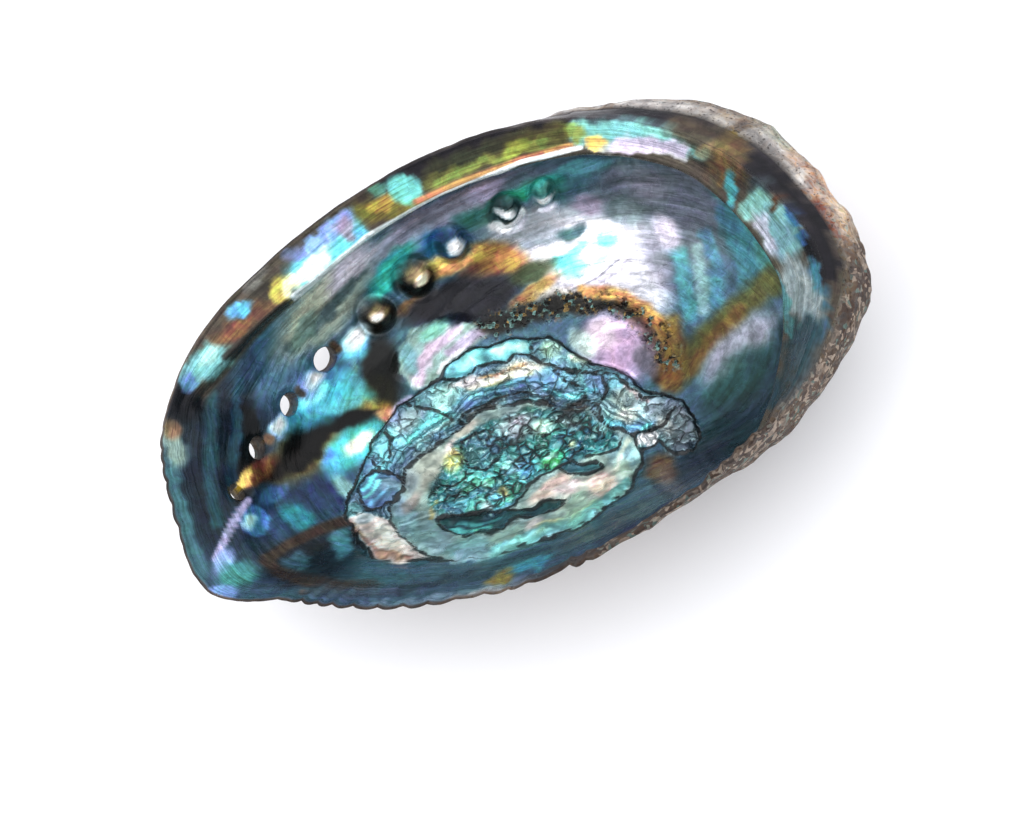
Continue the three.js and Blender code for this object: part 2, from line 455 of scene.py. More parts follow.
# ---------------------------------------------------------------- features, in mm of the drawing plane
# The near edge, which the scar and its core share.
NEAR_EDGE = [
    (21.6, -34.2), (18.7, -36.2), (17.4, -38.4), (12.3, -40), (7.7, -41.6), (1.9, -42.3), (-3.8, -42.3),
    (-9.6, -41.8), (-15.4, -42.1), (-21, -41.5), (-27, -39.5),
]
SCAR = [
    (-47.5, -22), (-46.5, -18), (-43, -15), (-38.5, -10.5), (-33, -5.5), (-27, -1.5), (-21, -0.2),
    (-15.4, 1.3), (-13, 3.3), (-8.5, 4.7), (-1, 4.7), (4, 4), (8, 2.4), (12, 1), (15, -2.5), (19, -8),
    (24, -11.5), (26.5, -14.5), (28, -18.5), (32, -21), (36, -24), (37, -29), (36.5, -33), (33.5, -35.3),
    (30.5, -34.8), (28.4, -33.4), (27.2, -30.7), (23, -31), *NEAR_EDGE, (-31.5, -37.4), (-38, -36),
    (-43.5, -33), (-46.6, -28),
]
CORE = [
    (-36.7, -23.2), (-32.7, -20.6), (-31, -17), (-28.7, -15.8), (-25, -14.6), (-20, -13.2),
    (-15.4, -11.8), (-12, -10.4), (-8.5, -9), (-5, -9.9), (-1.5, -11), (2, -11.2), (5, -13), (7.4, -16),
    (11.2, -17.3), (15.2, -18.4), (18.6, -24.6), (21, -26.2), (22.7, -27.8), (22.7, -31.3), *NEAR_EDGE,
    (-31.5, -37), (-34.4, -34.2), (-37.3, -30), (-38.2, -26.6),
]
TONGUE = [
    (-27.5, -29.5), (-27, -32), (-23, -35.3), (-17.7, -36.8), (-14, -37.3), (-9.6, -36), (-5, -37.3),
    (-0.4, -37.6), (2.2, -36), (-0.4, -34.7), (-5, -35.3), (-9.6, -34.3), (-13, -33.2), (-15.4, -32),
    (-21, -31),
]
CLAW = [
    (3.1, -28.4), (5.4, -30.7), (7.7, -31.9), (11.2, -32.2), (13.5, -31.6), (12.3, -30.4), (9, -29.6),
    (7, -28),
]
SHOE = [
    (-42.6, -15.6), (-43.5, -19.2), (-42.5, -22), (-39.6, -23.5), (-35.6, -22.9), (-32.7, -20.9),
    (-32.2, -18.6), (-34, -16), (-38, -14.2),
]
SCALLOPS = [
    (-15.4, 1.3), (-14, 0.4), (-12, -1), (-8.5, -0.4), (-5, 0.3), (-2, 0.2), (0.2, -1), (3.7, -0.4),
    (6.8, -1.6), (8, 2.4), (4, 4), (-1, 4.7), (-8.5, 4.7), (-13, 3.3),
]
# Single dark lines between the plates of the scar.
CREASES = [
    [(6.8, -1.6), (8.6, -4), (10.4, -5.4), (13.5, -7.6), (18, -10.5), (20.4, -11.7), (23.9, -13.4),
     (25, -15.7), (26.2, -18), (28, -20.3), (32, -21.6)],
    [(-14.8, -10.6), (-13, -9), (-9.6, -8.2), (-1, -8.5), (2, -9.3), (4.8, -11)],
    [(4.8, -12.2), (8, -14.4), (11.4, -15.8), (15.4, -16.6), (17.4, -18.6), (17, -21.6), (18.7, -24.9)],
    [(10.6, -6.4), (11.6, -9.4), (14.4, -11.8), (15.6, -14.6), (14.8, -16.4)],
    [(13.5, -7.8), (15.4, -9.8), (18.4, -11), (20.8, -13.4), (21.2, -16), (18.4, -17.8)],
    [(22.7, -27.8), (27.3, -28.4), (31, -27.4), (33.5, -25)],
    [(22.7, -31.2), (26.7, -30.7)],
    [(-33, -5.6), (-31, -8.4), (-32.4, -12), (-35, -13.4)],
    [(-25, -1.4), (-22.4, -4.4), (-18, -6.6), (-16, -9.6)],
    [(-38, -10.8), (-36, -14), (-37.4, -15)],
    [(-17, -18), (-16, -15.4), (-12, -14.2), (-8, -15.6), (-6.8, -18.6), (-8.6, -22), (-13, -23.4),
     (-16.4, -21.6), (-17, -18)],
    [(-27, -24.6), (-24, -22.6), (-21, -24), (-18, -23.4)],
    [(-15.4, -31.9), (-13, -33.2), (-9.6, -33), (-6, -30.7), (-1, -29), (3.1, -28.4)],
    [(10.6, -28.4), (13.5, -29), (17.5, -29.3), (20, -27.6)],
    [(-2, -14), (1, -16.4), (0, -19), (3, -20.6), (7, -20.2), (9.6, -22.4)],
]
# Round bubbles of the core: a, b and radius.
RINGS = [
    (-13.4, -30.2, 1.5), (-4.6, -26.6, 1.9), (-21.6, -25.2, 1.5), (-9.2, -17.4, 1.2), (-3, -17, 1.6),
    (1.4, -23.4, 1.3), (9, -24.8, 1.7), (14.6, -24.4, 1.4), (-17.4, -27.6, 1.4), (-8.6, -28.4, 1.2),
    (6.6, -17.4, 1.2), (11.6, -19.6, 1.3),
]
LEAF = [
    (-22.6, 1), (-24, 6), (-22, 11), (-17, 14.6), (-12, 14.4), (-9, 11.4), (-3, 10), (0, 8.8),
    (-0.6, 6.6), (-6, 5.2), (-12, 3.4), (-18, 0.8),
]
PLATE = [
    (-47.5, -22), (-43, -23), (-38.2, -26.6), (-37.3, -30), (-34.4, -34.2), (-31.5, -37.2), (-38, -36),
    (-44, -32),
]
BUBBLES = [
    (-28, -26), (-24, -20.6), (-18, -15), (-12, -13.4), (-4, -12.6), (2, -12.6), (8, -16), (14.4, -19),
    (19, -26), (18, -29.4), (9, -28.4), (3, -28.4), (-1, -29), (-6, -30.7), (-10, -33), (-14, -33),
    (-22, -30.6), (-27, -29.4),
]
PORE_ROW = [
    (-78, -18), (-69, -7), (-61.5, 0.5), (-51.2, 8), (-39.5, 14.5), (-24, 20), (-12, 25), (0, 29),
    (14, 32), (24, 33), (34, 31),
]
TIP_RIDGE = [(-66, -9), (-69, -11), (-74, -15), (-79, -19.5)]
GRITTY_PATH = [(0, 8), (10, 8), (20, 7.5), (30, 3), (36, -5), (37, -14)]
NEAR_RIM = [(86, 14), (86, -9), (78, -22), (66, -33), (48, -42), (28, -48), (8, -51.5)]

OUTLINES = {
    "CORE": CORE,
    "BUBBLES": BUBBLES,
    "TONGUE": TONGUE,
    "CLAW": CLAW,
    "SHOE": SHOE,
    "SCALLOPS": SCALLOPS,
    "PLATE": PLATE,
    "LEAF": LEAF,
}


def hump(distance, width, power=2):
    """1 at no distance, falling off over about this width."""
    return np.exp(-((distance / width) ** power))


def pore_places(pores):
    """Where pores lie in the drawing plane."""
    return [drawing(ring_points(INNER, depth, np.array([station])))[0] for station, depth, *_ in pores]


def lip_fade(skin):
    """1 on the lip, falling to 0 a few millimetres below it."""
    high = stations_at(skin.position)[:, 2]
    return 1 - smooth(high - skin.points[:, 2], 0, 7)


def shelf_presence(skin):
    """1 at the stations with a shelf inside, 0 at the others."""
    return smooth(stations_at(skin.position)[:, 6], 0.5, 5.5)


def scallop(skin):
    """Outward waves of the growing edge, in mm."""
    around = skin.position * STATION_SPACING
    wander = noise(np.stack([around, 0 * around, 0 * around], -1), 17, 3, 2) * 8
    wave = np.abs(np.sin((around + wander) * math.pi / SCALLOP_LENGTH)) ** 0.8
    rough = noise(skin.points, 6, 5, 3)
    uneven = 0.6 + 0.6 * noise(skin.points, 20, 6)
    strength = smooth(skin.position, 7.3, 8.6) * (1 - smooth(skin.position, 15.2, 16.4))
    strength *= mix(0.45, 1, smooth(skin.position, 9.6, 11.4))
    return strength * uneven * (1.3 * wave - 0.6) + (0.35 + 0.4 * strength) * rough


def inner_relief(skin, flat):
    """Waves of the bowl, dimples at the pores, beads, the tip ridge, raised patches, streaks and scar."""
    points = skin.points
    relief = 0.4 * noise(points, 26, 11) + 0.28 * noise(points, 10, 12, 2)
    for centre, (_, _, long, _) in zip(pore_places(OPEN_PORES), OPEN_PORES):
        away = np.hypot(*(flat - centre).T)
        relief -= hump(away, 0.8 * long) + 0.5 * hump(away, 0.55 * long, 4)
    row = path_distance(flat, PORE_ROW)
    relief += 0.9 * hump(row, 5.5) * smooth(flat[:, 0], -84, -70)
    relief -= 0.7 * hump(row - 8.5, 4)
    for centre, (_, _, size) in zip(pore_places(SEALED_PORES), SEALED_PORES):
        away = np.hypot(*(flat - centre).T) / size
        relief += 1.7 * hump(away, 0.44, 2.4) - hump(away - 0.7, 0.17)
    ridge = path_distance(flat, TIP_RIDGE)
    relief += 1.1 * hump(ridge, 2.8) - 0.6 * hump(ridge - 6, 2.6)
    relief += 0.8 * (1 - smooth(ellipse(flat, (-14, 8), (11, 6.4), 8), 0.85, 1.15))
    relief += 0.9 * (1 - smooth(ellipse(flat, (25, -6), (8.5, 10), -50), 0.8, 1.2))
    bowl = smooth(skin.depth, 4.3, 5)
    shelf_end = smooth(skin.position, 6.9, 7.4) * (1 - smooth(skin.position, 8, 8.4))
    thicker = 1.2 * shelf_end * smooth(skin.depth, 2.5, 3.5) * (1 - smooth(skin.depth, 5.4, 6.2))
    streaks = noise(flow_place(skin, 26, 2.2), 1, 40, 2)
    relief += 0.10 * streaks
    scar = scar_relief(points, flat)
    shelf = 0.3 * noise(points, 8, 15, 2) + 0.12 * streaks
    return thicker + bowl * (relief + scar) + (1 - bowl) * shelf


def scar_relief(points, flat):
    """Rough terraces where the foot muscle was attached."""
    wobble = np.stack([noise(points, 5, 51, 2), noise(points, 5, 52, 2)], -1)
    moved = flat + 1.2 * wobble
    edge = outline_distance(moved, SCAR)
    core = outline_distance(moved, CORE)
    loop = np.maximum(outline_distance(moved, TONGUE), outline_distance(moved, CLAW))
    inside = smooth(edge, -0.6, 0.9)
    terrace = noise(points, 7, 53, 2) * 3.2
    step = np.floor(terrace) + smooth(terrace % 1, 0.0, 0.35)
    lumps = noise(points, 2.6, 54, 2)
    relief = inside * (1.0 + 0.28 * step + 0.35 * lumps)
    relief -= 0.5 * inside * smooth(core, -0.4, 0.8)
    relief -= 0.45 * hump(edge, 0.7) + 0.5 * hump(core, 0.8) * inside
    relief -= 0.45 * hump(loop, 0.7) * inside
    relief -= 0.5 * smooth(loop, 0, 1.2)
    return relief


def outer_relief(skin):
    """Spiral cords, growth lines, pore turrets and the lumps that grow on the shell."""
    points = skin.points
    fade = smooth(skin.depth, 0.8, 2.2)
    spin = skin.position * 2 * math.pi / len(STATIONS)
    cords = np.sin(34 * spin + 2.2 * noise(points, 30, 61)) * smooth(skin.depth, 2.0, 3.2)
    growth = noise(flow_place(skin, 30, 3.0), 1, 62, 3)
    lumps = noise(points, 9, 63, 3)
    crust = np.maximum(noise(points, 5, 64, 2) - 0.15, 0)
    relief = fade * np.maximum(0.4 + 0.22 * cords + 0.75 * growth + 0.8 * lumps + 1.3 * crust, -0.2)
    for station, depth, long, _ in OPEN_PORES:
        away = np.linalg.norm(points - turret_place(station, depth), axis=1)
        relief += 2.0 * hump(away, 0.85 * long)
    for station, depth, size in SEALED_PORES:
        away = np.linalg.norm(points - turret_place(station, depth), axis=1)
        relief += 1.6 * hump(away, 0.55 * size) - 0.8 * hump(away, 0.22 * size)
    return relief


def pore_frame(station, depth):
    """Centre of a pore on the inner face, its direction along the row, and its direction through the wall."""
    step = 0.05

    def at(s, d):
        return ring_points(INNER, d, np.array([s]))[0]

    along = at(station + step, depth) - at(station - step, depth)
    down = at(station, depth + step) - at(station, depth - step)
    through = np.cross(along, down)
    return at(station, depth), along / np.linalg.norm(along), through / np.linalg.norm(through)


def turret_place(station, depth):
    """Where a pore comes out, which is on the lower of the two sides of its axis."""
    centre, _, through = pore_frame(station, depth)
    outward = -through if through[2] > 0 else through
    return centre + outward * (WALL + 0.4)


def flow_place(skin, long, short):
    """Places for streaks that follow the growing edge: long along it, short across it, calm at the poles."""
    spin = skin.position * 2 * math.pi / len(STATIONS)
    from_pole = np.where(skin.face == OUTER, skin.depth, INNER_END - skin.depth)
    calm = smooth(from_pole, 0, 1)
    radius = MEAN_RADIUS / long * calm
    depth = np.where(skin.face == OUTER, calm * from_pole, INNER_END - calm * from_pole)
    across = (depth + 10 * skin.face) * DEPTH_STEP / short
    return np.stack([radius * np.cos(spin), radius * np.sin(spin), across], -1)


# ---------------------------------------------------------------- colours
# Rows of paint, each laid over the rows before it, in mm of the drawing plane:
#   ("blob", colour, strength, centre, radii, turn) is an ellipse, and "patch" is one with a crisp edge,
#   ("band", colour, strength, half width, path) follows a path, and "line" follows it with less wander,
#   ("area", colour, strength, name) fills one of the OUTLINES.
BOWL_BASE = "#3c5f74"
BOWL_PAINT = [
    # wall at the growing end, from the left rim to the pores
    ("blob", "#1a2c42", 0.95, (-70, 3), (13, 27), -14),
    # dark navy band along the fold where the wall meets the floor: painted shade
    ("band", "#123048", 0.6, 3, [(-66, -8), (-60, 10), (-52, 24)]),
    ("band", "#2a6a74", 0.55, 1.6, [(-76, -12), (-73, 4), (-66, 20)]),
    ("band", "#1f5a78", 0.6, 1.3, [(-71, -14), (-68, 0), (-60, 18)]),
    ("band", "#3c6a74", 0.85, 1.8, [(-83, -22), (-83.5, -8), (-82, 4)]),
    ("blob", "#8fa89a", 0.8, (-79.5, 7), (2.6, 5)),
    ("blob", "#9a7a48", 0.8, (-77.5, 11.5), (2.2, 2.6)),
    ("blob", "#161c2e", 0.8, (-73, 19), (5, 7), -20),
    # near-black band down the same fold: painted shade
    ("band", "#0e1420", 0.85, 1.7, [(-56, 26), (-59, 14), (-62, 5), (-69, -10)]),
    ("blob", "#3c6080", 0.85, (-50, 18), (11, 10), 25),
    ("blob", "#a4a894", 0.9, (-35, 27), (16, 6), 28),
    ("band", "#3a4f5a", 0.7, 1.3, [(-46, 20), (-34, 25), (-24, 31)]),
    ("blob", "#d0bccc", 0.85, (-28, 33), (9, 2.6), 24),
    ("blob", "#b0a8c0", 0.9, (-9, 35.4), (14, 4), 12),
    ("blob", "#25b4ac", 0.9, (-17, 29), (8, 2.6), 32),
    ("blob", "#1f64a8", 0.95, (-5, 30.5), (4.4, 4.4), 20),
    ("blob", "#34786c", 0.85, (8, 35), (6, 2.8), 5),
    ("blob", "#1fa88c", 0.9, (21, 36.4), (7, 2.6), -4),
    ("blob", "#6a6478", 0.8, (8, 38.8), (22, 2)),
    ("blob", "#4a5a66", 0.75, (46, 31), (12, 5), -35),
    ("blob", "#b4b49c", 0.9, (-38, 27.4), (9, 2.6), 40),
    ("blob", "#5f7c74", 0.7, (-42, 22), (6, 2), 40),
    ("blob", "#c4b4c0", 0.85, (-26, 31.6), (8, 1.6), 24),
    ("blob", "#8a8494", 0.9, (2, 38), (12, 2.2), 4),
    ("blob", "#b0a0c0", 0.7, (10, 38.6), (5, 1.2)),
    ("blob", "#2fc0b4", 0.8, (-19, 27.4), (5, 1.6), 34),
    ("blob", "#5aa0b0", 0.7, (33, 36.4), (7, 1.6), -12),
    # right half of the bowl
    ("blob", "#5d6270", 0.9, (50, 19), (12, 15), 10),
    ("blob", "#7a7784", 0.6, (42, 28), (9, 5), -20),
    ("band", "#3f8f86", 0.7, 3, [(62, 24), (65, 12), (66, 0)]),
    ("band", "#3f909c", 0.75, 1.7, [(47.5, 10), (46.5, 2), (45, -6)]),
    ("band", "#3f7f9c", 0.75, 1.6, [(55, 12), (54.5, 2), (52, -5)]),
    ("band", "#8fb8b4", 0.6, 1.5, [(51.5, 9), (50.5, 1), (48.5, -5)]),
    ("band", "#2f6f84", 0.8, 2.4, [(61, 14), (61.5, 4), (60, -3)]),
    ("band", "#5a5a24", 0.9, 3.2, [(65, -5), (56, -8), (46, -13), (38, -17)]),
    ("band", "#7a5a24", 0.7, 1.8, [(56, -9), (46, -14), (38, -18)]),
    ("blob", "#9a98a4", 0.85, (53, -16.5), (11, 4), 24),
    ("blob", "#23514f", 0.85, (50, -24), (12, 4.4), 26),
    ("band", "#1d3b48", 0.85, 3, [(66, -16), (62, -24), (55, -30)]),
    ("blob", "#27424f", 0.9, (44, -33), (14, 5), 22),
    # the pale lilac-white patches of the next four rows, brightest round (28, 16), are a painted highlight of
    # the window light over pale lilac nacre
    ("blob", "#b8b4bc", 0.85, (17, 27), (12, 6), -12),
    ("blob", "#e6dee6", 1.0, (28, 16), (14, 12), -25),
    ("blob", "#d8ccdc", 0.8, (46.5, 15), (3, 4)),
    ("blob", "#c8c4cc", 0.85, (37, 5), (5, 8), 10),
    ("blob", "#5fd6dd", 0.75, (23, 15.5), (4, 3), -30),
    ("blob", "#8fe0e6", 0.6, (33, 17.5), (3.4, 2.6), 20),
    ("band", "#57707a", 0.5, 0.7, [(14, 24), (22, 22.5), (29, 24)]),
    ("band", "#6f6f84", 0.4, 0.6, [(20, 11), (28, 9), (36, 11)]),
    ("blob", "#4d6c74", 0.5, (26, 23), (3, 1.6)),
    # clouds, flecks and hair cracks inside the painted highlight
    ("blob", "#8f9aa4", 0.7, (20, 24), (5, 2.2), -10),
    ("blob", "#2f5a60", 0.8, (26.4, 22.4), (3, 1.2)),
    ("blob", "#b494b0", 0.7, (32, 28), (4, 2.4), -30),
    ("blob", "#5a6a70", 0.7, (40, 23), (5, 3.4), -20),
    ("blob", "#7a7484", 0.6, (42, 8), (2.4, 7), 4),
    ("blob", "#58c4d4", 0.85, (21.6, 16.4), (2.4, 1.6), -30),
    ("blob", "#6fd0dc", 0.8, (26, 18.6), (3, 1.0), 20),
    ("blob", "#58b8cc", 0.8, (33, 18), (2.6, 1.2), -20),
    ("blob", "#8fd8e0", 0.7, (30, 14), (2, 0.8), 10),
    ("line", "#6a6a78", 0.75, 0.3, [(19.6, 9.6), (24, 10), (28, 10.4), (31, 11.6), (34, 12.6)]),
    ("line", "#7a7486", 0.6, 0.3, [(27, 10.4), (29.6, 8.6), (31, 6), (32, 4.4)]),
    ("line", "#6f8088", 0.5, 0.3, [(22, 21), (27, 20), (30, 18.4)]),
    # gold and dark patches above the muscle scar
    ("blob", "#d9a648", 0.85, (-4, 26), (7, 2.4)),
    ("blob", "#b88a3c", 0.95, (7, 23.5), (8, 4), -28),
    ("band", "#e8c35a", 0.8, 1.1, [(-9, 25), (-3, 27), (4, 27)]),
    ("blob", "#7a4a24", 0.85, (3, 21.5), (6, 2.4), -8),
    ("blob", "#b8742a", 0.8, (-16, 20), (4, 1.5), 15),
    ("blob", "#26222e", 0.95, (-8, 18), (11, 4), 4),
    ("blob", "#211f30", 0.95, (1, 14.5), (10, 4.2), 14),
    ("blob", "#3a4a26", 0.85, (14, 17), (6, 2.6)),
    ("blob", "#b8863c", 0.85, (13, 12.6), (7, 1.7), 12),
    ("blob", "#e3d8c4", 0.7, (18, 9.5), (5, 2), -20),
    ("blob", "#1c1c16", 0.9, (-28, 8), (5, 8.5), -18),
    ("blob", "#2a2a10", 0.95, (-31, 3.5), (4, 5), -30),
    ("band", "#7a9a30", 0.75, 1.1, [(-34, 12), (-36, 6), (-33, 0.5)]),
    ("area", "#8fb0a8", 1.0, "LEAF"),
    ("band", "#d0b0c8", 0.85, 1.5, [(-21, 3), (-16, 7), (-11, 9), (-8, 10)]),
    ("band", "#c4a9c8", 0.8, 1.2, [(-11, 5.4), (-5, 7.4), (-1, 8)]),
    ("blob", "#7fd0bc", 0.8, (-13, 12), (3.4, 1.8), 10),
    ("blob", "#6fb0b8", 0.7, (-20.6, 8), (2, 3.4)),
    # white line along the scar's upper left edge: painted highlight
    ("band", "#eef2ee", 0.9, 0.5, [(-15.6, 2.6), (-12, 4), (-7.6, 5.4)]),
    ("band", "#24221a", 0.95, 2.3, [(0, 8.5), (8, 8), (18, 7.5), (27, 4)]),
    ("band", "#b8843a", 0.9, 1.5, [(24, 9), (30, 5.5), (36, 0), (39, -8)]),
    ("band", "#8a4a22", 0.8, 2.1, [(33, -1), (36.5, -8), (36, -15)]),
    ("band", "#3b2a1c", 0.85, 1.8, [(30, 2), (33.5, -4), (35, -12), (33, -17)]),
    ("band", "#7a5a1e", 0.85, 2.6, [(40, -6), (39, -12), (35, -19)]),
    ("blob", "#b898b8", 1.0, (26, -7), (9, 7.4), -50),
    ("blob", "#c8b8c0", 0.8, (24, -3), (4, 4)),
    ("blob", "#b9d2c4", 0.8, (19, -3), (2.4, 4), 20),
    ("blob", "#6a6470", 0.8, (32, -12), (2.2, 4), 10),
    # left of the scar
    ("blob", "#2f6fa8", 0.9, (-41, 8), (8, 6), 30),
    ("blob", "#4fb0b0", 0.8, (-36, 5), (4, 5), 20),
    ("blob", "#356f8f", 0.85, (-50, 4), (7, 4.4), 25),
    ("blob", "#1d2f55", 0.8, (-33, 16), (5, 4), 20),
    ("blob", "#23406a", 0.9, (-58, -14), (13, 7), 10),
    ("blob", "#24406a", 0.9, (-50, -14), (7, 7)),
    ("blob", "#1f8f9a", 0.8, (-58, -17.5), (4, 2.6), -40),
    ("blob", "#7fb0a0", 0.8, (-46, -15), (2, 4), 30),
    ("blob", "#8a7426", 0.8, (-51, -3.4), (9, 5.6), 22),
    ("band", "#a8842c", 0.8, 2.6, [(-50, 0.6), (-43, 2.4), (-37, 1.6), (-31, -1.6)]),
    ("blob", "#0b0907", 1.0, (-51.6, -2.8), (7.4, 4.0), 24),
    ("band", "#0b0907", 1.0, 2.3, [(-51, -0.4), (-45, 0.6), (-39, 0), (-33.6, -1.8)]),
    ("band", "#2a1c10", 0.95, 1.8, [(-64, -5.4), (-58, -5.4), (-54, -3.6)]),
    ("blob", "#7a4a22", 0.9, (-63, -4.5), (5, 2.6), 20),
    ("blob", "#e2bd5e", 0.9, (-66.5, -5), (2.8, 1.2), 35),
    # aqua spot below the dark arch: partly bright aqua nacre and partly painted highlight, whitest at its
    # white-yellow centre
    ("blob", "#3fb8bc", 1.0, (-40, -6.6), (8.4, 4.2), 22),
    ("blob", "#f4ffd8", 0.95, (-39.4, -6.4), (4, 2), 24),
    ("blob", "#3f8fd0", 0.8, (-46.5, -7.5), (2.4, 2.2)),
    ("blob", "#e09a6a", 0.9, (-30.5, -2.2), (3, 1.6), -25),
    ("blob", "#c9b8e0", 0.85, (-26, -1.6), (3.4, 1.5), 10),
    # bright blue facet beside the tip ridge with its pale blue-white centre: painted highlight
    ("patch", "#3f78b8", 0.9, (-67.6, -15), (3.4, 3.6), 40),
    ("blob", "#b8f0ff", 0.95, (-69.2, -15), (1.8, 1.5)),
    ("blob", "#3f78b0", 0.7, (-61, -10.4), (4, 1.6), 10),
    ("line", "#a49cc0", 0.9, 0.9, [(-68, -10.2), (-72.5, -13.8), (-78.7, -20)]),
    ("blob", "#8fa0e0", 0.85, (-77, -21), (3.4, 2), 30),
    ("blob", "#3f8f90", 0.9, (-75, -25), (4.6, 3), -15),
    ("blob", "#6f90d0", 0.85, (-80, -27.5), (3.4, 1.8), -20),
    # wall below the scar, with the brown growth rings
    ("blob", "#222c3c", 0.95, (-58, -28), (13, 6), -12),
    ("blob", "#3f7080", 0.8, (-62, -27.5), (3.6, 2.2)),
    ("blob", "#4f98a8", 0.8, (-50.5, -27), (2.4, 3.2)),
    ("line", "#4e3c2c", 0.95, 1.3, [(-68, -24.4), (-62, -22.8), (-55, -22.2), (-48, -22.4)]),
    ("line", "#4a3a2e", 0.95, 1.4, [(-68, -24.4), (-66.4, -27.6), (-61, -31.4), (-53.6, -35.6),
        (-46, -38.4)]),
    ("line", "#6a5848", 0.8, 0.7, [(-62, -34), (-50, -39), (-36, -42.5)]),
    ("band", "#37506a", 0.85, 3.4, [(-60, -37.5), (-40, -43.5), (-15, -46.5), (10, -46.5)]),
    ("band", "#6f8496", 0.7, 0.7, [(-66, -37), (-50, -42.5), (-30, -46.5), (-12, -48.4)]),
    ("band", "#22384e", 0.7, 0.9, [(-40, -41.5), (-20, -44), (10, -44.4), (30, -40)]),
    ("blob", "#2f8fa8", 0.85, (-10, -45.8), (5, 1.2)),
    ("blob", "#8a7a2a", 0.85, (-18, -46.4), (3.4, 1.2)),
    ("blob", "#c8c4bc", 0.6, (-24, -48), (8, 0.9), -6),
    ("band", "#2a3a58", 0.8, 2.6, [(8, -46), (24, -42), (38, -37)]),
    ("blob", "#7a5530", 0.85, (25.5, -36.5), (3.6, 3.6)),
    # beads that seal the old pores: a dark disc round each is partly the bead's own olive, blue or teal and
    # partly painted shade in its moat; the tan spots are partly gold nacre and partly painted highlight; the
    # pale and white spots, and the white crescent on the fourth bead, are painted highlights
    ("blob", "#2a2418", 0.95, (-24.4, 20.6), (4.6, 4)),
    ("blob", "#8a7a4c", 0.9, (-24, 21.6), (2.4, 1.8)),
    ("blob", "#f4e4dc", 0.95, (-24.6, 20.9), (1.3, 1.3)),
    ("blob", "#1c1a14", 0.95, (-12.8, 25.4), (4.6, 3.8)),
    ("blob", "#8a7a50", 0.9, (-12.4, 27), (2.8, 1.5)),
    ("blob", "#f8dcb8", 0.95, (-11.6, 25.6), (2.0, 1.1), 10),
    ("blob", "#14406a", 0.95, (-1.4, 30), (4.4, 3.4)),
    ("blob", "#ffffff", 1.0, (-0.8, 29.6), (2.4, 1.5)),
    ("blob", "#16363a", 0.97, (13.4, 32.8), (4.4, 3)),
    ("band", "#ffffff", 1.0, 1.1, [(8.6, 31.4), (11, 29.8), (14.4, 29.8), (17, 31.4)]),
    ("blob", "#ffffff", 0.97, (13, 33.4), (2.4, 0.9)),
    ("blob", "#2f6a68", 0.9, (24, 33.6), (4, 2.6)),
    ("blob", "#ffffff", 0.95, (22.8, 33), (2.4, 1.1)),
    # bright saddles between the open pores: blue and cyan nacre under painted highlights in pale blue and
    # white, and brown painted shadow beside each pore
    ("blob", "#2f9fc0", 0.85, (-45, 5), (9, 4), 20),
    ("blob", "#7fe0e0", 0.8, (-45, 8), (4, 2.4), 25),
    ("blob", "#4fc0c8", 0.8, (-39, 3.8), (5, 2)),
    ("blob", "#5fc8e8", 0.85, (-32, 15.4), (4.4, 3.4), 25),
    ("blob", "#d8f0ff", 1.0, (-31, 17.4), (3.8, 2.4), 25),
    ("blob", "#ffffff", 1.0, (-30.6, 17.6), (2, 1.2), 25),
    ("blob", "#7aa8e8", 0.9, (-45.4, 10.6), (4, 2.6), 35),
    ("blob", "#c0d4ff", 1.0, (-44, 11.6), (3.2, 2), 35),
    ("blob", "#ffffff", 1.0, (-43.6, 12), (1.6, 0.9), 35),
    ("blob", "#8fb8e8", 0.9, (-55.8, 3.6), (3.4, 2.2), 40),
    ("blob", "#d0e8ff", 1.0, (-55.6, 4), (2.8, 1.8), 40),
    ("blob", "#ffffff", 1.0, (-55.2, 4.2), (1.4, 0.9), 40),
    ("blob", "#5a3f22", 0.9, (-36.4, 17.2), (1.3, 1.6), 30),
    ("blob", "#4a3a2a", 0.85, (-48.4, 9.8), (1.1, 1.5), 30),
    ("blob", "#7a5a34", 0.85, (-59.4, 1.6), (1.1, 1.6), 30),
]
SCAR_BASE = "#5a8ca2"
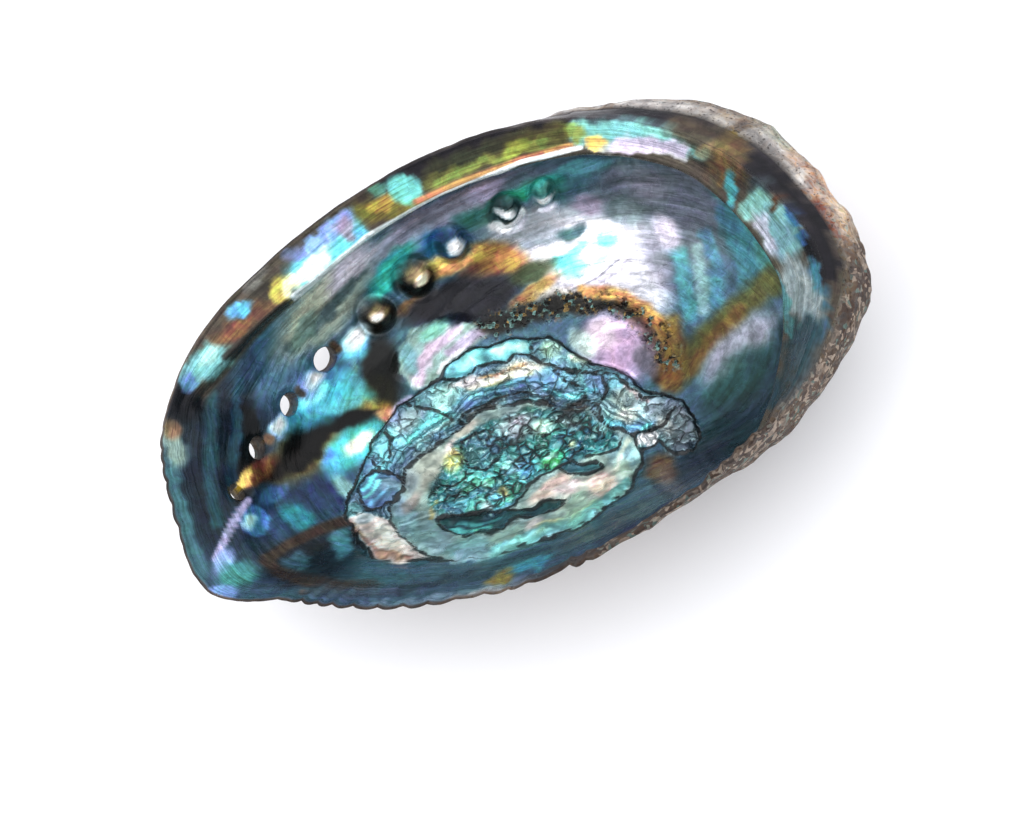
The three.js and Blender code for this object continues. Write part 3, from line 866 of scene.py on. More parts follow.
SCAR_PAINT = [
    # crescent round the core
    ("blob", "#4f93b4", 0.9, (-38, -13), (6, 5), 40),
    ("blob", "#5fb4c8", 0.9, (-31, -9), (6, 3.6), 40),
    ("blob", "#9fb4b8", 0.8, (-26, -6), (4, 2.6), 20),
    ("blob", "#7a8fb4", 0.7, (-29.6, -4), (3, 1.6), 20),
    ("blob", "#4fa8b8", 0.85, (-21, -9), (6, 3), 24),
    ("band", "#3fd0d8", 0.8, 0.5, [(-28, -11), (-22, -8), (-17, -7.4)]),
    ("band", "#b4e4e0", 0.8, 0.5, [(-26, -12.4), (-21, -10.4), (-16.4, -9.4)]),
    ("blob", "#8fd0cc", 0.9, (-16, -3.6), (4, 3), 10),
    ("blob", "#c9b8b4", 0.85, (-9.4, -2.4), (4.4, 1.3), -5),
    ("blob", "#dcdcc4", 0.9, (3.6, -3.6), (6, 1.8), -14),
    ("band", "#b8864c", 0.85, 0.5, [(-6, -2.6), (0, -2.8), (5, -3.4)]),
    ("band", "#9aa84c", 0.7, 0.5, [(-6, -4.4), (1, -4.6), (6, -5.4)]),
    ("band", "#e8e4c8", 0.85, 0.6, [(-10, -4), (-2, -3.8), (4, -4.8), (9.6, -5)]),
    ("band", "#4fa8c0", 0.9, 0.8, [(-14, -6.4), (-6, -5.8), (2, -6.6), (8, -8)]),
    ("band", "#3f78b0", 0.8, 0.6, [(-12, -7.6), (-4, -7), (3, -8)]),
    ("area", "#58b8cc", 1.0, "SCALLOPS"),
    ("blob", "#8feae8", 0.85, (-8, 2.2), (2.6, 1.4)),
    ("blob", "#a4f0ea", 0.9, (0.6, 2.4), (2.6, 1.5)),
    ("blob", "#2f6f90", 0.7, (-3.6, 1.8), (1.2, 1.6)),
    ("blob", "#b4e8dc", 0.8, (5, 1), (1.8, 1.4)),
    ("blob", "#a8dcc4", 0.85, (12, -2), (2.6, 2), -50),
    ("blob", "#c9dcb8", 0.8, (17, -6.4), (2.6, 1.2), -50),
    ("blob", "#4f98b8", 0.9, (9, -9), (3, 3.6)),
    ("band", "#4fe0e8", 0.9, 0.5, [(7, -8), (8, -11), (10.6, -13.6), (14, -14.8)]),
    ("band", "#8fb8e0", 0.8, 0.5, [(5, -8.6), (6, -12), (8.6, -14.8)]),
    ("blob", "#6fc4d4", 0.9, (12.4, -9.6), (2, 2.2)),
    ("blob", "#4f88a8", 0.9, (17.6, -13.6), (3, 2), -20),
    ("blob", "#4fd8e4", 0.85, (17, -14.4), (2, 0.6), -25),
    ("blob", "#5fa8c4", 0.9, (22, -14.4), (2.4, 2.2)),
    ("blob", "#7fb0b4", 0.95, (20, -20.6), (4, 3), -40),
    ("blob", "#a4bcb4", 0.9, (24, -20), (3.4, 3), -30),
    ("blob", "#d0d4c0", 0.8, (22.6, -23.4), (2.6, 1.6), -20),
    ("blob", "#9fb8c4", 0.9, (28, -23), (3.4, 3), -20),
    ("band", "#4fc8e8", 0.95, 0.5, [(17.6, -22), (21, -25.6), (25, -27.4), (29.6, -26.8)]),
    ("band", "#d8a8a0", 0.6, 0.4, [(25, -16.4), (26.4, -19.4), (28.6, -21.4)]),
    ("blob", "#66747e", 1.0, (32.6, -29), (5, 6.4), 10),
    ("blob", "#b0b4a8", 0.7, (30, -28), (2, 2)),
    ("blob", "#4a5660", 0.6, (35.4, -31), (1.8, 3), 10),
    ("blob", "#5a4a3c", 0.75, (-8, -9.2), (5, 0.8), 8),
    ("blob", "#4a4038", 0.8, (6.6, -13.4), (1.8, 1.4), -40),
    ("blob", "#54402e", 0.8, (12.4, -17), (3, 1.4), -10),
    ("area", "#3a6fa0", 1.0, "SHOE"),
    ("band", "#3fdce8", 0.95, 0.45, [(-42, -17.4), (-40, -17), (-38, -15.6)]),
    ("band", "#5fe4e8", 0.95, 0.45, [(-42.4, -19.4), (-40, -19), (-37.4, -17)]),
    ("band", "#3fb4e0", 0.9, 0.45, [(-41.8, -21.4), (-39, -21), (-36, -19.4)]),
    ("blob", "#7f8fb0", 0.7, (-35.4, -18.6), (2, 2)),
    ("area", "#e0d0c0", 0.97, "PLATE"),
    ("band", "#94704e", 0.85, 0.5, [(-47, -23), (-46.2, -27), (-42.6, -32.2), (-36, -35.6)]),
    ("band", "#b8a898", 0.8, 0.8, [(-44, -26), (-42, -30), (-38, -33.4)]),
    ("blob", "#efe0cc", 0.9, (-40.4, -28.6), (1.6, 3), 30),
    ("blob", "#8fa4ac", 0.85, (-44, -24), (2.6, 1), -10),
    # core: plates at its rim
    ("area", "#86a4a0", 1.0, "CORE"),
    ("blob", "#98a090", 0.95, (-26, -18.6), (7, 3.6), 30),
    ("blob", "#70848a", 0.8, (-31, -20), (3, 2.4), 30),
    ("blob", "#e4ccc4", 0.9, (-18.6, -15.6), (2, 1.4), 30),
    ("blob", "#b8ac98", 0.8, (-14, -12.6), (4, 1.2), 20),
    ("blob", "#7298a8", 0.95, (-34.4, -27), (3, 5), 10),
    ("blob", "#6f949c", 0.9, (-30, -33), (4, 4.6), 40),
    ("blob", "#a88f80", 0.6, (-32, -24.6), (3, 1.4), 30),
    ("blob", "#6a9ca8", 0.9, (-22, -38.6), (6, 2.4), -14),
    ("blob", "#8fb0a4", 0.9, (-12, -39.4), (6, 2)),
    ("blob", "#d8c4c0", 0.85, (-6.6, -39), (2.4, 1.4)),
    ("blob", "#c4cc90", 0.8, (-3, -40.4), (3.4, 1.2)),
    ("blob", "#9fd0a8", 0.9, (5, -40), (5, 1.4), 6),
    ("band", "#5fb8bc", 0.9, 0.8, [(-18, -41), (-8, -41), (4, -41.4), (12, -39.2), (17, -37)]),
    ("blob", "#b4b8a8", 0.95, (8, -35.4), (9, 3), 10),
    ("blob", "#e4c8b0", 0.95, (0, -32.4), (6, 1.8), 14),
    ("blob", "#ecc4ac", 0.95, (11.6, -35.6), (3, 2.6)),
    ("blob", "#8fb4a4", 0.85, (4.6, -37.4), (3, 1.8), 20),
    ("blob", "#e8ccc8", 0.85, (4, -33.6), (3, 1.2)),
    ("blob", "#78a8b0", 0.85, (18.6, -31), (3.4, 4), 20),
    ("blob", "#a8c8b0", 0.8, (17, -33.6), (2, 2.4), 30),
    ("band", "#d8e4c8", 0.7, 0.5, [(15, -34), (18, -30.6), (21, -28.6)]),
    # core: bubbly middle
    ("area", "#3f8c94", 0.9, "BUBBLES"),
    ("patch", "#4a7486", 0.9, (-12, -18.8), (4.8, 4.2)),
    ("blob", "#9aa0a8", 0.9, (-2, -16), (5, 3.4), -8),
    ("blob", "#c8bcc8", 0.8, (-1.4, -15.2), (2.4, 1.4)),
    ("blob", "#b8d8c8", 0.8, (3.4, -18.8), (2.4, 1.6)),
    ("blob", "#4a4e50", 0.85, (9.6, -19), (4, 2), -30),
    ("blob", "#b8c86a", 0.9, (-19.4, -18.4), (2.4, 2.2), 40),
    ("blob", "#d8d880", 0.7, (-18.8, -16.6), (1.2, 0.8)),
    ("blob", "#2f6f7c", 0.85, (-23, -24), (4, 3)),
    ("blob", "#58b0a8", 0.85, (-17.4, -25), (3, 2.4), 20),
    ("blob", "#7fe0d0", 0.85, (-13.6, -26.6), (2, 1)),
    ("blob", "#5fc0c0", 0.85, (-13, -30.4), (4.6, 2.6)),
    ("blob", "#bfe8dc", 0.85, (-15.6, -30.8), (1.2, 1.4)),
    ("blob", "#e8d878", 0.8, (-10.6, -29.4), (0.9, 1.2)),
    ("blob", "#8fd8d0", 0.85, (-6.4, -24.6), (2.4, 2.2)),
    ("blob", "#4f98b0", 0.85, (-3.6, -26.6), (2.4, 2.2)),
    ("blob", "#4fe0b4", 0.95, (3.4, -26), (3.2, 2), 14),
    ("blob", "#a4f0d4", 0.85, (3, -25.2), (1.6, 1)),
    ("patch", "#e4f0a8", 0.95, (8.8, -24.2), (1.1, 0.9)),
    ("blob", "#3a7890", 0.85, (12.6, -25.4), (4, 2.4), -10),
    ("blob", "#9fd0c8", 0.7, (15.4, -23.4), (1.6, 1.2)),
    ("band", "#e0c860", 0.7, 0.35, [(-28.6, -29), (-27.4, -27.4), (-26, -26.4)]),
    ("area", "#235a66", 1.0, "TONGUE"),
    ("area", "#2f7080", 1.0, "CLAW"),
    ("band", "#3fd0c0", 0.95, 0.5, [(-25, -32.6), (-21.6, -34.6), (-17, -35.6)]),
    ("band", "#2fa8b0", 0.8, 0.5, [(-23, -31.8), (-19, -33.6), (-14, -34.6)]),
    ("blob", "#14343c", 0.7, (-20, -31.6), (4, 0.9), -12),
    # white patch between the two short creases: painted highlight
    ("patch", "#ffffff", 1.0, (25.2, -29.4), (2.6, 1.1), -4),
]
SHELF_BASE = "#4b4438"
SHELF_PAINT = [
    ("band", "#26212b", 0.95, 3.4, [(-10, 50), (20, 49.5), (40, 45), (52, 40), (62, 32), (70, 22)]),
    ("blob", "#151322", 0.9, (-74, 17), (4, 8), -30),
    ("blob", "#6fb3b5", 1.0, (-66, 23.6), (7, 3.7), 24),
    ("blob", "#a8d8d0", 0.7, (-64, 25), (3.4, 1.8), 30),
    ("blob", "#5b7fc0", 0.8, (-70.5, 20.5), (2.2, 2.2)),
    ("band", "#6a4c34", 0.95, 2.6, [(-60, 28), (-54, 30), (-47, 32)]),
    ("blob", "#8a6038", 0.8, (-56, 28.6), (4.4, 1.6), 20),
    ("blob", "#4a4038", 0.8, (-62, 31.6), (7, 2.4), 30),
    ("blob", "#4f9fc8", 1.0, (-53.6, 32.8), (3.0, 1.6), 10),
    ("blob", "#3d3a30", 0.8, (-47, 35.5), (3, 3)),
    ("blob", "#6a6a66", 0.7, (-48, 38.5), (4, 1.6), 30),
    ("blob", "#63c5d6", 1.0, (-31, 38.4), (12.4, 4.3), 24),
    ("blob", "#7f9be0", 0.95, (-29, 42), (8, 2.3), 18),
    ("blob", "#5f6f9c", 0.7, (-37, 41), (3.4, 1.6), 20),
    # white-blue spot on the bright shelf patch: painted highlight
    ("blob", "#eafcff", 0.95, (-34, 36.6), (5.4, 2.2), 24),
    ("blob", "#b8ac48", 0.95, (-43, 33.4), (2.4, 3)),
    ("blob", "#e4e0b0", 0.85, (-40.4, 33.8), (1.8, 2.4)),
    ("blob", "#9a7a8a", 0.75, (-24, 41.5), (2.2, 2.6), 20),
    ("blob", "#54b9d8", 0.9, (-21, 39), (2.4, 2)),
    ("band", "#6d6a25", 0.95, 2.6, [(-19, 44), (-14, 42.6), (-8, 42)]),
    ("blob", "#b9a23c", 0.8, (-14, 44.4), (4, 1.6), 5),
    ("blob", "#5aa89a", 0.8, (-13.6, 47.4), (2.4, 1.2)),
    ("blob", "#69c3bd", 1.0, (-7.4, 45.8), (4.2, 3.2), -20),
    ("band", "#5b5a2c", 0.95, 3.0, [(0, 45.6), (14, 46), (30, 44.4)]),
    ("band", "#7d9440", 0.7, 1.0, [(0, 44), (12, 45), (26, 44)]),
    ("blob", "#8aa43c", 0.8, (20, 45), (3.4, 1.6)),
    ("blob", "#33372a", 0.8, (8, 47.6), (12, 1.3)),
    ("line", "#c88a50", 0.85, 0.7, [(-6, 42), (6, 42.4), (20, 42.3), (34, 41)]),
    ("band", "#cfd2d6", 0.75, 0.9, [(36, 40.5), (46, 35.6), (56, 29)]),
    ("band", "#7cc5c0", 1.0, 2.4, [(35, 43), (45, 39.4), (55, 34), (61, 29)]),
    ("band", "#d9c6e0", 0.9, 1.6, [(43, 37.6), (50, 34.4), (56, 31)]),
    ("blob", "#9aa83c", 0.8, (34, 43.6), (2.4, 1.6), -30),
    # yellow-orange spot: painted highlight
    ("blob", "#ffcf60", 0.95, (38.4, 40), (3, 1.4), -25),
    ("band", "#4a4030", 0.95, 2.8, [(57, 36), (63, 30), (68, 22)]),
    ("blob", "#5f4e2e", 0.95, (65, 25), (4, 7), -30),
    ("blob", "#7a6034", 0.8, (63, 24), (1.8, 4.4), -26),
    ("blob", "#93764a", 0.6, (60.6, 28.4), (2, 1.6), -30),
    ("blob", "#32404a", 0.8, (69.4, 17), (2.4, 4), -10),
    ("blob", "#3f90a0", 0.95, (62.6, 18.4), (1.5, 4.4), -16),
    ("blob", "#7ab4a8", 1.0, (67, 12.6), (3.4, 3.4), -30),
    ("blob", "#6fa0a8", 0.95, (69.4, 5), (4.4, 7)),
    ("blob", "#2f6fb0", 0.9, (73.4, 8), (1.4, 3), -10),
    ("patch", "#2f5fa8", 0.85, (74, 1.4), (1.3, 2.8)),
    ("blob", "#b4b0c0", 0.85, (66.4, 6), (1.6, 6)),
    ("blob", "#8fd0c8", 0.7, (71, 8.6), (1.6, 2)),
    ("band", "#5c3c22", 0.95, 0.7, [(73, 13.6), (71.4, 11.8), (69.4, 10.4)]),
    ("band", "#1b1622", 0.97, 2.4, [(70, 22), (74.6, 14), (77, 6), (77.4, -2), (76, -8)]),
    ("patch", "#1b1622", 0.97, (75.4, -1.4), (2, 2.6)),
    ("blob", "#8c9c9e", 0.95, (69, -9), (3.8, 8.6), -4),
    ("band", "#b4bcb8", 0.5, 0.5, [(70, 0), (70.6, -8), (69, -15)]),
    ("blob", "#3a7f9c", 0.85, (73.4, -7), (1.2, 4), -10),
    ("band", "#2a5f7e", 0.7, 0.9, [(74, -11), (72, -16), (69, -21)]),
    ("band", "#1f3f50", 0.95, 3.2, [(67, -18), (62, -25), (56, -30)]),
    ("band", "#3f7f84", 0.8, 0.8, [(65, -4), (65, -12), (63.6, -17)]),
    # white line along the shelf's inner edge: painted highlight
    ("line", "#f0fbff", 0.97, 0.6, [(-41, 31), (-30, 34.8), (-20, 38.2), (-8, 40.3), (0, 41),
        (20, 41.6), (34, 40)]),
    ("line", "#2a2622", 0.8, 0.7, [(-61, 23.4), (-50, 28), (-43, 30.4)]),
]
CRUST_PAINT = [
    ("blob", "#c3a488", 0.9, (84, 6), (9, 22), 8),
    ("blob", "#b98c74", 0.8, (79, 16), (5, 10), 20),
    ("blob", "#8fa79a", 0.6, (76, 28), (4, 5)),
    ("band", "#42332b", 0.9, 7, [(88, -9), (78, -22), (66, -33), (48, -42), (28, -48), (8, -51.5),
        (-8, -52)]),
    ("band", "#c4bdb8", 0.95, 1.8, [(18, 52), (40, 48), (54, 42), (64, 34), (73, 25), (79, 14)]),
    ("band", "#8a3f34", 0.8, 0.9, [(77.6, 12), (79, 4), (78.6, -4)]),
    ("blob", "#3b302b", 0.9, (-60, -38), (30, 6), -14),
    ("blob", "#3b302b", 0.9, (-84, -10), (3, 24)),
    ("blob", "#38302c", 0.9, (-40, 46), (40, 6), 18),
    ("blob", "#3a3230", 0.9, (0, 52.5), (26, 3), 2),
]
CRUST_BASE = "#7c6c60"
CRISP = 0.12  # softness of the edge of a "patch"
MIDDLE_GREY = 0.45


def colour(text):
    return np.array([int(text[index : index + 2], 16) / 255 for index in (1, 3, 5)])


def painted(flat, base, rows, softness=0.4, still=None):
    """Mixes rows of paint over a base colour. Only "line" rows use the still places."""
    result = np.tile(colour(base), (len(flat), 1))
    for kind, tint, strength, *rest in rows:
        if kind in ("blob", "patch"):
            soft = softness if kind == "blob" else CRISP
            weight = 1 - smooth(ellipse(flat, *rest), 1 - soft, 1 + soft)
        elif kind in ("band", "line"):
            half_width, path = rest
            distance = path_distance(flat if kind == "band" else still, path)
            weight = 1 - smooth(distance, half_width * 0.5, half_width * 1.5)
        else:
            outline = OUTLINES[rest[0]]
            weight = smooth(outline_distance(flat, outline), -0.5, 0.5)
        result = mix(result, colour(tint), (weight * strength)[:, None])
    return result


def deepened(tints, contrast):
    """More contrast, about a middle grey, at the same hue."""
    tone = np.maximum(tints @ np.array((0.3, 0.55, 0.15)), 0.02)
    wanted = np.clip(MIDDLE_GREY + contrast * (tone - MIDDLE_GREY), 0.02, 1)
    return np.clip(tints * (wanted / tone)[:, None], 0.01, 1)


def to_linear(srgb):
    """Scene colours from screen colours."""
    return np.where(srgb <= 0.04045, srgb / 12.92, ((srgb + 0.055) / 1.055) ** 2.4)


def paint_skin(skin, flat):
    """Colour of each point, its share of crust, and its share of grains or specks."""
    points = skin.points
    wander = np.stack([noise(points, 9, 71, 3), noise(points, 9, 72, 3)], -1)
    fine = np.stack([noise(points, 2.5, 73, 2), noise(points, 2.5, 74, 2)], -1)
    moved = flat + 1.2 * wander + 0.8 * fine
    bowl = painted(moved, BOWL_BASE, BOWL_PAINT, still=flat + 0.3 * wander)
    scar_moved = scar_places(skin, flat)
    scar = painted(scar_moved, SCAR_BASE, SCAR_PAINT)
    inside_scar = smooth(outline_distance(scar_moved, SCAR), -0.2, 0.2)
    bowl = mix(deepened(bowl, 1.25), deepened(scar, 1.3), inside_scar[:, None])
    jagged = flat + 1.2 * wander + 1.3 * fine
    shelf = painted(jagged, SHELF_BASE, SHELF_PAINT, 0.3, flat + 0.4 * wander)
    crust = painted(flat + 5 * wander, CRUST_BASE, CRUST_PAINT, 0.8)
    on_shelf = shelf_presence(skin) * np.where(skin.face == INNER, 1 - smooth(skin.depth, 3.9, 4.3), 1)
    tints = mix(bowl, deepened(shelf, 1.15), on_shelf[:, None])
    pearl = noise(flow_place(skin, 30, 2.4), 1, 75, 3)
    tints = np.clip(tints * (1 + 0.25 * pearl[:, None]), 0, 1)
    is_crust = crust_share(skin, wander[:, 0])
    tints = mix(tints, crust, is_crust[:, None])
    gritty = 1 - smooth(path_distance(moved, GRITTY_PATH), 1.5, 4.5)
    rim = path_distance(flat, NEAR_RIM)
    outside_only = (skin.face == OUTER) * (1 - smooth(skin.depth, 4.5, 4.75))
    on_outside = np.maximum(outside_only, 1 - smooth(rim, 4, 7))
    return tints, is_crust, mix(gritty, on_outside, is_crust)


def crust_share(skin, wander):
    """1 where crust shows, 0 on nacre: the boundary runs along the lip, or outside it at the spire end."""
    count = len(STATIONS)
    turn = (skin.position + count / 2) % count - count / 2  # stations from the spire end
    beyond = smooth(turn, -1.6, -0.4) * (1 - smooth(turn, 2.6, 4.2))
    outside = smooth(4.93 - skin.depth + 0.03 * wander, 0.14 * beyond - 0.05, 0.14 * beyond + 0.05)
    near = smooth(skin.position, 12.6, 14) * (1 - smooth(skin.position, 15.6, 16.4))
    inside = 1 - smooth(skin.depth - 0.75 * near + (0.04 + 0.12 * near) * wander, 0.02, 0.13)
    share = np.where(skin.face == OUTER, mix(1, outside, beyond), near * inside * (1 - beyond))
    crest = (1 - beyond) * np.maximum(near, 1 - smooth(skin.depth, 0.3, 0.6))
    return np.where(skin.face == CREST, crest, share)


# ---------------------------------------------------------------- material
NOISE_LOW, NOISE_HIGH = 0.3, 0.7
COAT_ROUGHNESS = 0.12
SHELL_IOR = 1.5
SPECULAR_LEVEL = 0.3
BUMP_STRENGTH = 0.8
METAL = 0.5  # how metallic bare nacre is
NACRE_LINE = "#0c0e11"
SCAR_LINE = "#07090b"
PIT = "#2a211c"


class Nodes:
    """Short calls for building a node tree. A socket named i and a number is found by its number."""

    def __init__(self, material):
        self.tree = material.node_tree

    def add(self, kind, settings=None, **inputs):
        node = self.tree.nodes.new("ShaderNode" + kind)
        for key, value in (settings or {}).items():
            setattr(node, key, value)
        for key, value in inputs.items():
            self.feed(node, key.replace("_", " "), value)
        return node

    def feed(self, node, socket, value):
        by_number = socket[0] == "i" and socket[1:].isdigit()
        target = node.inputs[int(socket[1:]) if by_number else socket]
        if isinstance(value, bpy.types.NodeSocket):
            self.tree.links.new(value, target)
        else:
            target.default_value = value

    def math(self, operation, first, second=0.0, third=0.0):
        node = self.add("Math", {"operation": operation}, i0=first, i1=second, i2=third)
        return node.outputs[0]

    def times(self, first, second):
        return self.math("MULTIPLY", first, second)

    def sum(self, first, second):
        return self.math("ADD", first, second)

    def varied(self, value, middle, strength, base):
        """The base, plus the value's distance from its middle times the strength."""
        return self.math("MULTIPLY_ADD", self.math("SUBTRACT", value, middle), strength, base)

    def spread(self, value, start, end):
        """A ramp over the range that layered noise mostly has."""
        return self.ramp(value, NOISE_LOW, NOISE_HIGH, start, end)

    def ramp(self, value, low, high, start=0.0, end=1.0):
        node = self.add("MapRange", {"interpolation_type": "SMOOTHSTEP"}, Value=value)
        for socket, number in (("From Min", low), ("From Max", high), ("To Min", start), ("To Max", end)):
            node.inputs[socket].default_value = number
        return node.outputs[0]

    def mix(self, share, first, second):
        node = self.add("Mix", {"data_type": "RGBA"})
        self.feed(node, "i0", share)
        self.feed(node, "i6", first)
        self.feed(node, "i7", second)
        return node.outputs[2]

    def attribute(self, name):
        return self.add("Attribute", {"attribute_name": name})

    def parts(self, name):
        """The three numbers of a vector attribute."""
        return self.add("SeparateXYZ", Vector=self.attribute(name).outputs["Vector"]).outputs

    def tones(self, node):
        """Red, green and blue of a node's colour, as three random numbers."""
        return self.add("SeparateColor", Color=node.outputs["Color"]).outputs

    def noise(self, place, scale, detail=2.0, distortion=0.0, roughness=0.5):
        node = self.add("TexNoise", Vector=place, Scale=scale, Detail=detail, Distortion=distortion)
        node.inputs["Roughness"].default_value = roughness
        return node

    def cells(self, place, scale, feature="F1"):
        return self.add("TexVoronoi", {"feature": feature}, Vector=place, Scale=scale)

    def tint(self, colour_socket, hue=0.5, saturation=1.0, value=1.0):
        node = self.add("HueSaturation", Color=colour_socket, Hue=hue, Saturation=saturation, Value=value)
        return node.outputs[0]

    def scaled(self, vector, factor):
        node = self.add("VectorMath", {"operation": "SCALE"}, i0=vector)
        node.inputs["Scale"].default_value = factor
        return node.outputs[0]

    def plus(self, first, second):
        return self.add("VectorMath", {"operation": "ADD"}, i0=first, i1=second).outputs[0]


def srgb(text):
    return (*to_linear(colour(text)), 1)


def new_material(name):
    material = bpy.data.materials.new(name)
    material.use_nodes = True
    return material, Nodes(material), material.node_tree.nodes["Principled BSDF"]


def common_fields(n):
    """Places in mm, the same with a gentle wander, and the soft flecks that all surfaces share."""
    place = n.scaled(n.add("TexCoord").outputs["Object"], 1000)
    wander = n.noise(place, 0.35, 2).outputs["Color"]
    centred = n.add("VectorMath", {"operation": "SUBTRACT"}, i0=wander, i1=(0.5, 0.5, 0.5)).outputs[0]
    bent = n.plus(place, n.scaled(centred, 3.0))
    fleck = n.noise(bent, 0.2, 3, 0.8, 0.55).outputs["Fac"]
    return place, centred, bent, fleck


def finish_surface(n, shader, metallic, roughness, coat, height):
    """Gloss and bump, where height is in mm."""
    n.feed(shader, "Metallic", metallic)
    n.feed(shader, "Roughness", roughness)
    shader.inputs["Coat Weight"].default_value = coat
    shader.inputs["Coat Roughness"].default_value = COAT_ROUGHNESS
    shader.inputs["IOR"].default_value = SHELL_IOR
    shader.inputs["Specular IOR Level"].default_value = SPECULAR_LEVEL
    bump = n.add("Bump", Height=height)
    bump.inputs["Distance"].default_value = MM
    bump.inputs["Strength"].default_value = BUMP_STRENGTH
    n.feed(shader, "Normal", bump.outputs[0])


def nacre_material(gritty):
    """Mother of pearl: streaks along the growing edge, with grains of brown protein where it is gritty."""
    material, n, shader = new_material("gritty_nacre" if gritty else "nacre")
    place, _, bent, fleck = common_fields(n)
    flow = n.attribute("flow").outputs["Vector"]
    paint = n.attribute("paint").outputs["Color"]
    streak = n.noise(flow, 1.0, 4, 0.7, 0.62).outputs["Fac"]
    cloud = n.noise(bent, 0.5, 3, 0.4, 0.6).outputs["Fac"]
    hue = n.sum(n.spread(streak, 0.47, 0.515), n.spread(fleck, -0.03, 0.025))
    value = n.times(n.spread(streak, 0.7, 1.35), n.spread(cloud, 0.75, 1.25))
    pearl = n.tint(paint, hue, 0.96, value)
    height = n.sum(n.times(streak, 0.2), n.times(fleck, 0.22))
    if gritty:
        grain = n.attribute("grain").outputs["Fac"]
        grit = n.cells(place, 1.15)
        tone = n.tones(grit)
        share = n.times(grain, n.ramp(n.noise(place, 0.45, 3).outputs["Fac"], 0.44, 0.6))
        grains = n.mix(n.ramp(tone[1], 0.45, 0.55), srgb("#6a8f88"), srgb("#8a7040"))
        grains = n.mix(n.ramp(tone[0], 0.45, 0.95), srgb("#14120f"), grains)
        pearl = n.mix(share, pearl, grains)
        grain_height = n.ramp(grit.outputs["Distance"], 0, 0.6, 0.5, 0)
        height = n.sum(height, n.times(share, grain_height))
    scar_edge = n.parts("edges")[0]
    line = n.ramp(n.math("ABSOLUTE", scar_edge), 0.12, 0.5, 0.93, 0)
    n.feed(shader, "Base Color", n.mix(line, pearl, srgb(NACRE_LINE)))
    metallic = n.ramp(line, 0, 1, METAL, 0)
    roughness = n.spread(fleck, 0.2, 0.3)
    finish_surface(n, shader, metallic, roughness, 0.08, height)
    return material


def outlined_cells(n, place, scale):
    """Three random numbers for each cell, and the distance to its edge."""
    tones = n.tones(n.cells(place, scale))
    return tones, n.cells(place, scale, "DISTANCE_TO_EDGE").outputs["Distance"]


def scar_material():
    """The muscle scar: bubbly lumps in the middle, with outlined scales and plates round them."""
    material, n, shader = new_material("muscle_scar")
    place, centred, bent, fleck = common_fields(n)
    paint = n.attribute("paint").outputs["Color"]
    bubbly, scaly, _ = n.parts("kinds")
    scar_edge, core_edge, crease = n.parts("edges")
    gentle = n.plus(place, n.scaled(centred, 1.6))
    lump_tint, lump_edge = outlined_cells(n, gentle, 0.42)
    scale_tint, scale_edge = outlined_cells(n, bent, 0.26)
    gate = n.ramp(n.noise(place, 0.2, 2).outputs["Fac"], 0.42, 0.56)
    weight = n.ramp(n.noise(place, 0.5, 2).outputs["Fac"], 0.35, 0.65, 0.3, 0.62)

    lump_line = n.times(n.ramp(lump_edge, 0.04, 0.16, 1, 0), n.times(bubbly, gate))
    scale_line = n.times(n.ramp(scale_edge, 0.01, 0.07, 0.8, 0), n.times(scaly, gate))
    edge_gap = n.math("MINIMUM", n.math("ABSOLUTE", scar_edge), crease)
    drawn_line = n.ramp(n.math("DIVIDE", edge_gap, weight), 0.45, 1.15, 1, 0)
    lines = n.math("MAXIMUM", n.math("MAXIMUM", lump_line, scale_line), drawn_line)

    along = n.sum(n.times(core_edge, 0.7), n.times(fleck, 1.8))
    rib = n.math("PINGPONG", along, 0.5)
    rib_share = n.times(n.ramp(rib, 0.0, 0.36, 1, 0), n.math("MULTIPLY_ADD", scaly, 0.5, 0.1))
    sheen_hue = n.ramp(n.noise(bent, 0.16, 2, 0.6).outputs["Fac"], 0.32, 0.68, 0.455, 0.522)
    sheen_tone = n.spread(n.noise(n.plus(bent, (30, 0, 0)), 0.3, 3, 0.4).outputs["Fac"], 0.62, 1.5)
    pearl = n.tint(paint, sheen_hue, n.math("MULTIPLY_ADD", bubbly, 0.12, 0.84), sheen_tone)
    lively = n.math("MAXIMUM", bubbly, n.times(scaly, 0.5))
    cell_hue = n.varied(lump_tint[0], 0.5, n.times(lively, 0.08), 0.5)
    cell_value = n.varied(lump_tint[1], 0.45, n.times(bubbly, 0.9), 1.0)
    scale_value = n.varied(scale_tint[1], 0.45, n.times(scaly, 0.7), 1.0)
    pearl = n.tint(pearl, cell_hue, 1.0, n.times(cell_value, scale_value))
    pearl = n.mix(rib_share, pearl, srgb("#24465a"))
    rim = n.times(n.ramp(lump_edge, 0.16, 0.4, 0.0, 0.8), n.times(bubbly, lump_tint[2]))
    pearl = n.mix(rim, pearl, srgb("#a8e4dc"))
    spark = n.ramp(n.noise(bent, 0.9, 2).outputs["Fac"], 0.58, 0.68, 0, 0.6)
    pearl = n.mix(n.times(spark, lively), pearl, srgb("#c8f0f4"))
    n.feed(shader, "Base Color", n.mix(n.times(lines, 0.95), pearl, srgb(SCAR_LINE)))

    bubble_height = n.times(n.ramp(lump_edge, 0, 0.4, 0, 0.8), bubbly)
    scale_dome = n.ramp(scale_edge, 0, 0.25, 0, 0.4)
    scale_height = n.times(n.math("SUBTRACT", scale_dome, rib_share), scaly)
    height = n.math("SUBTRACT", n.sum(bubble_height, scale_height), n.times(lines, 0.5))
    height = n.sum(height, n.times(fleck, 0.3))
    roughness = n.spread(fleck, 0.25, 0.38)
    finish_surface(n, shader, n.ramp(lines, 0, 1, METAL, 0), roughness, 0.1, height)
    return material


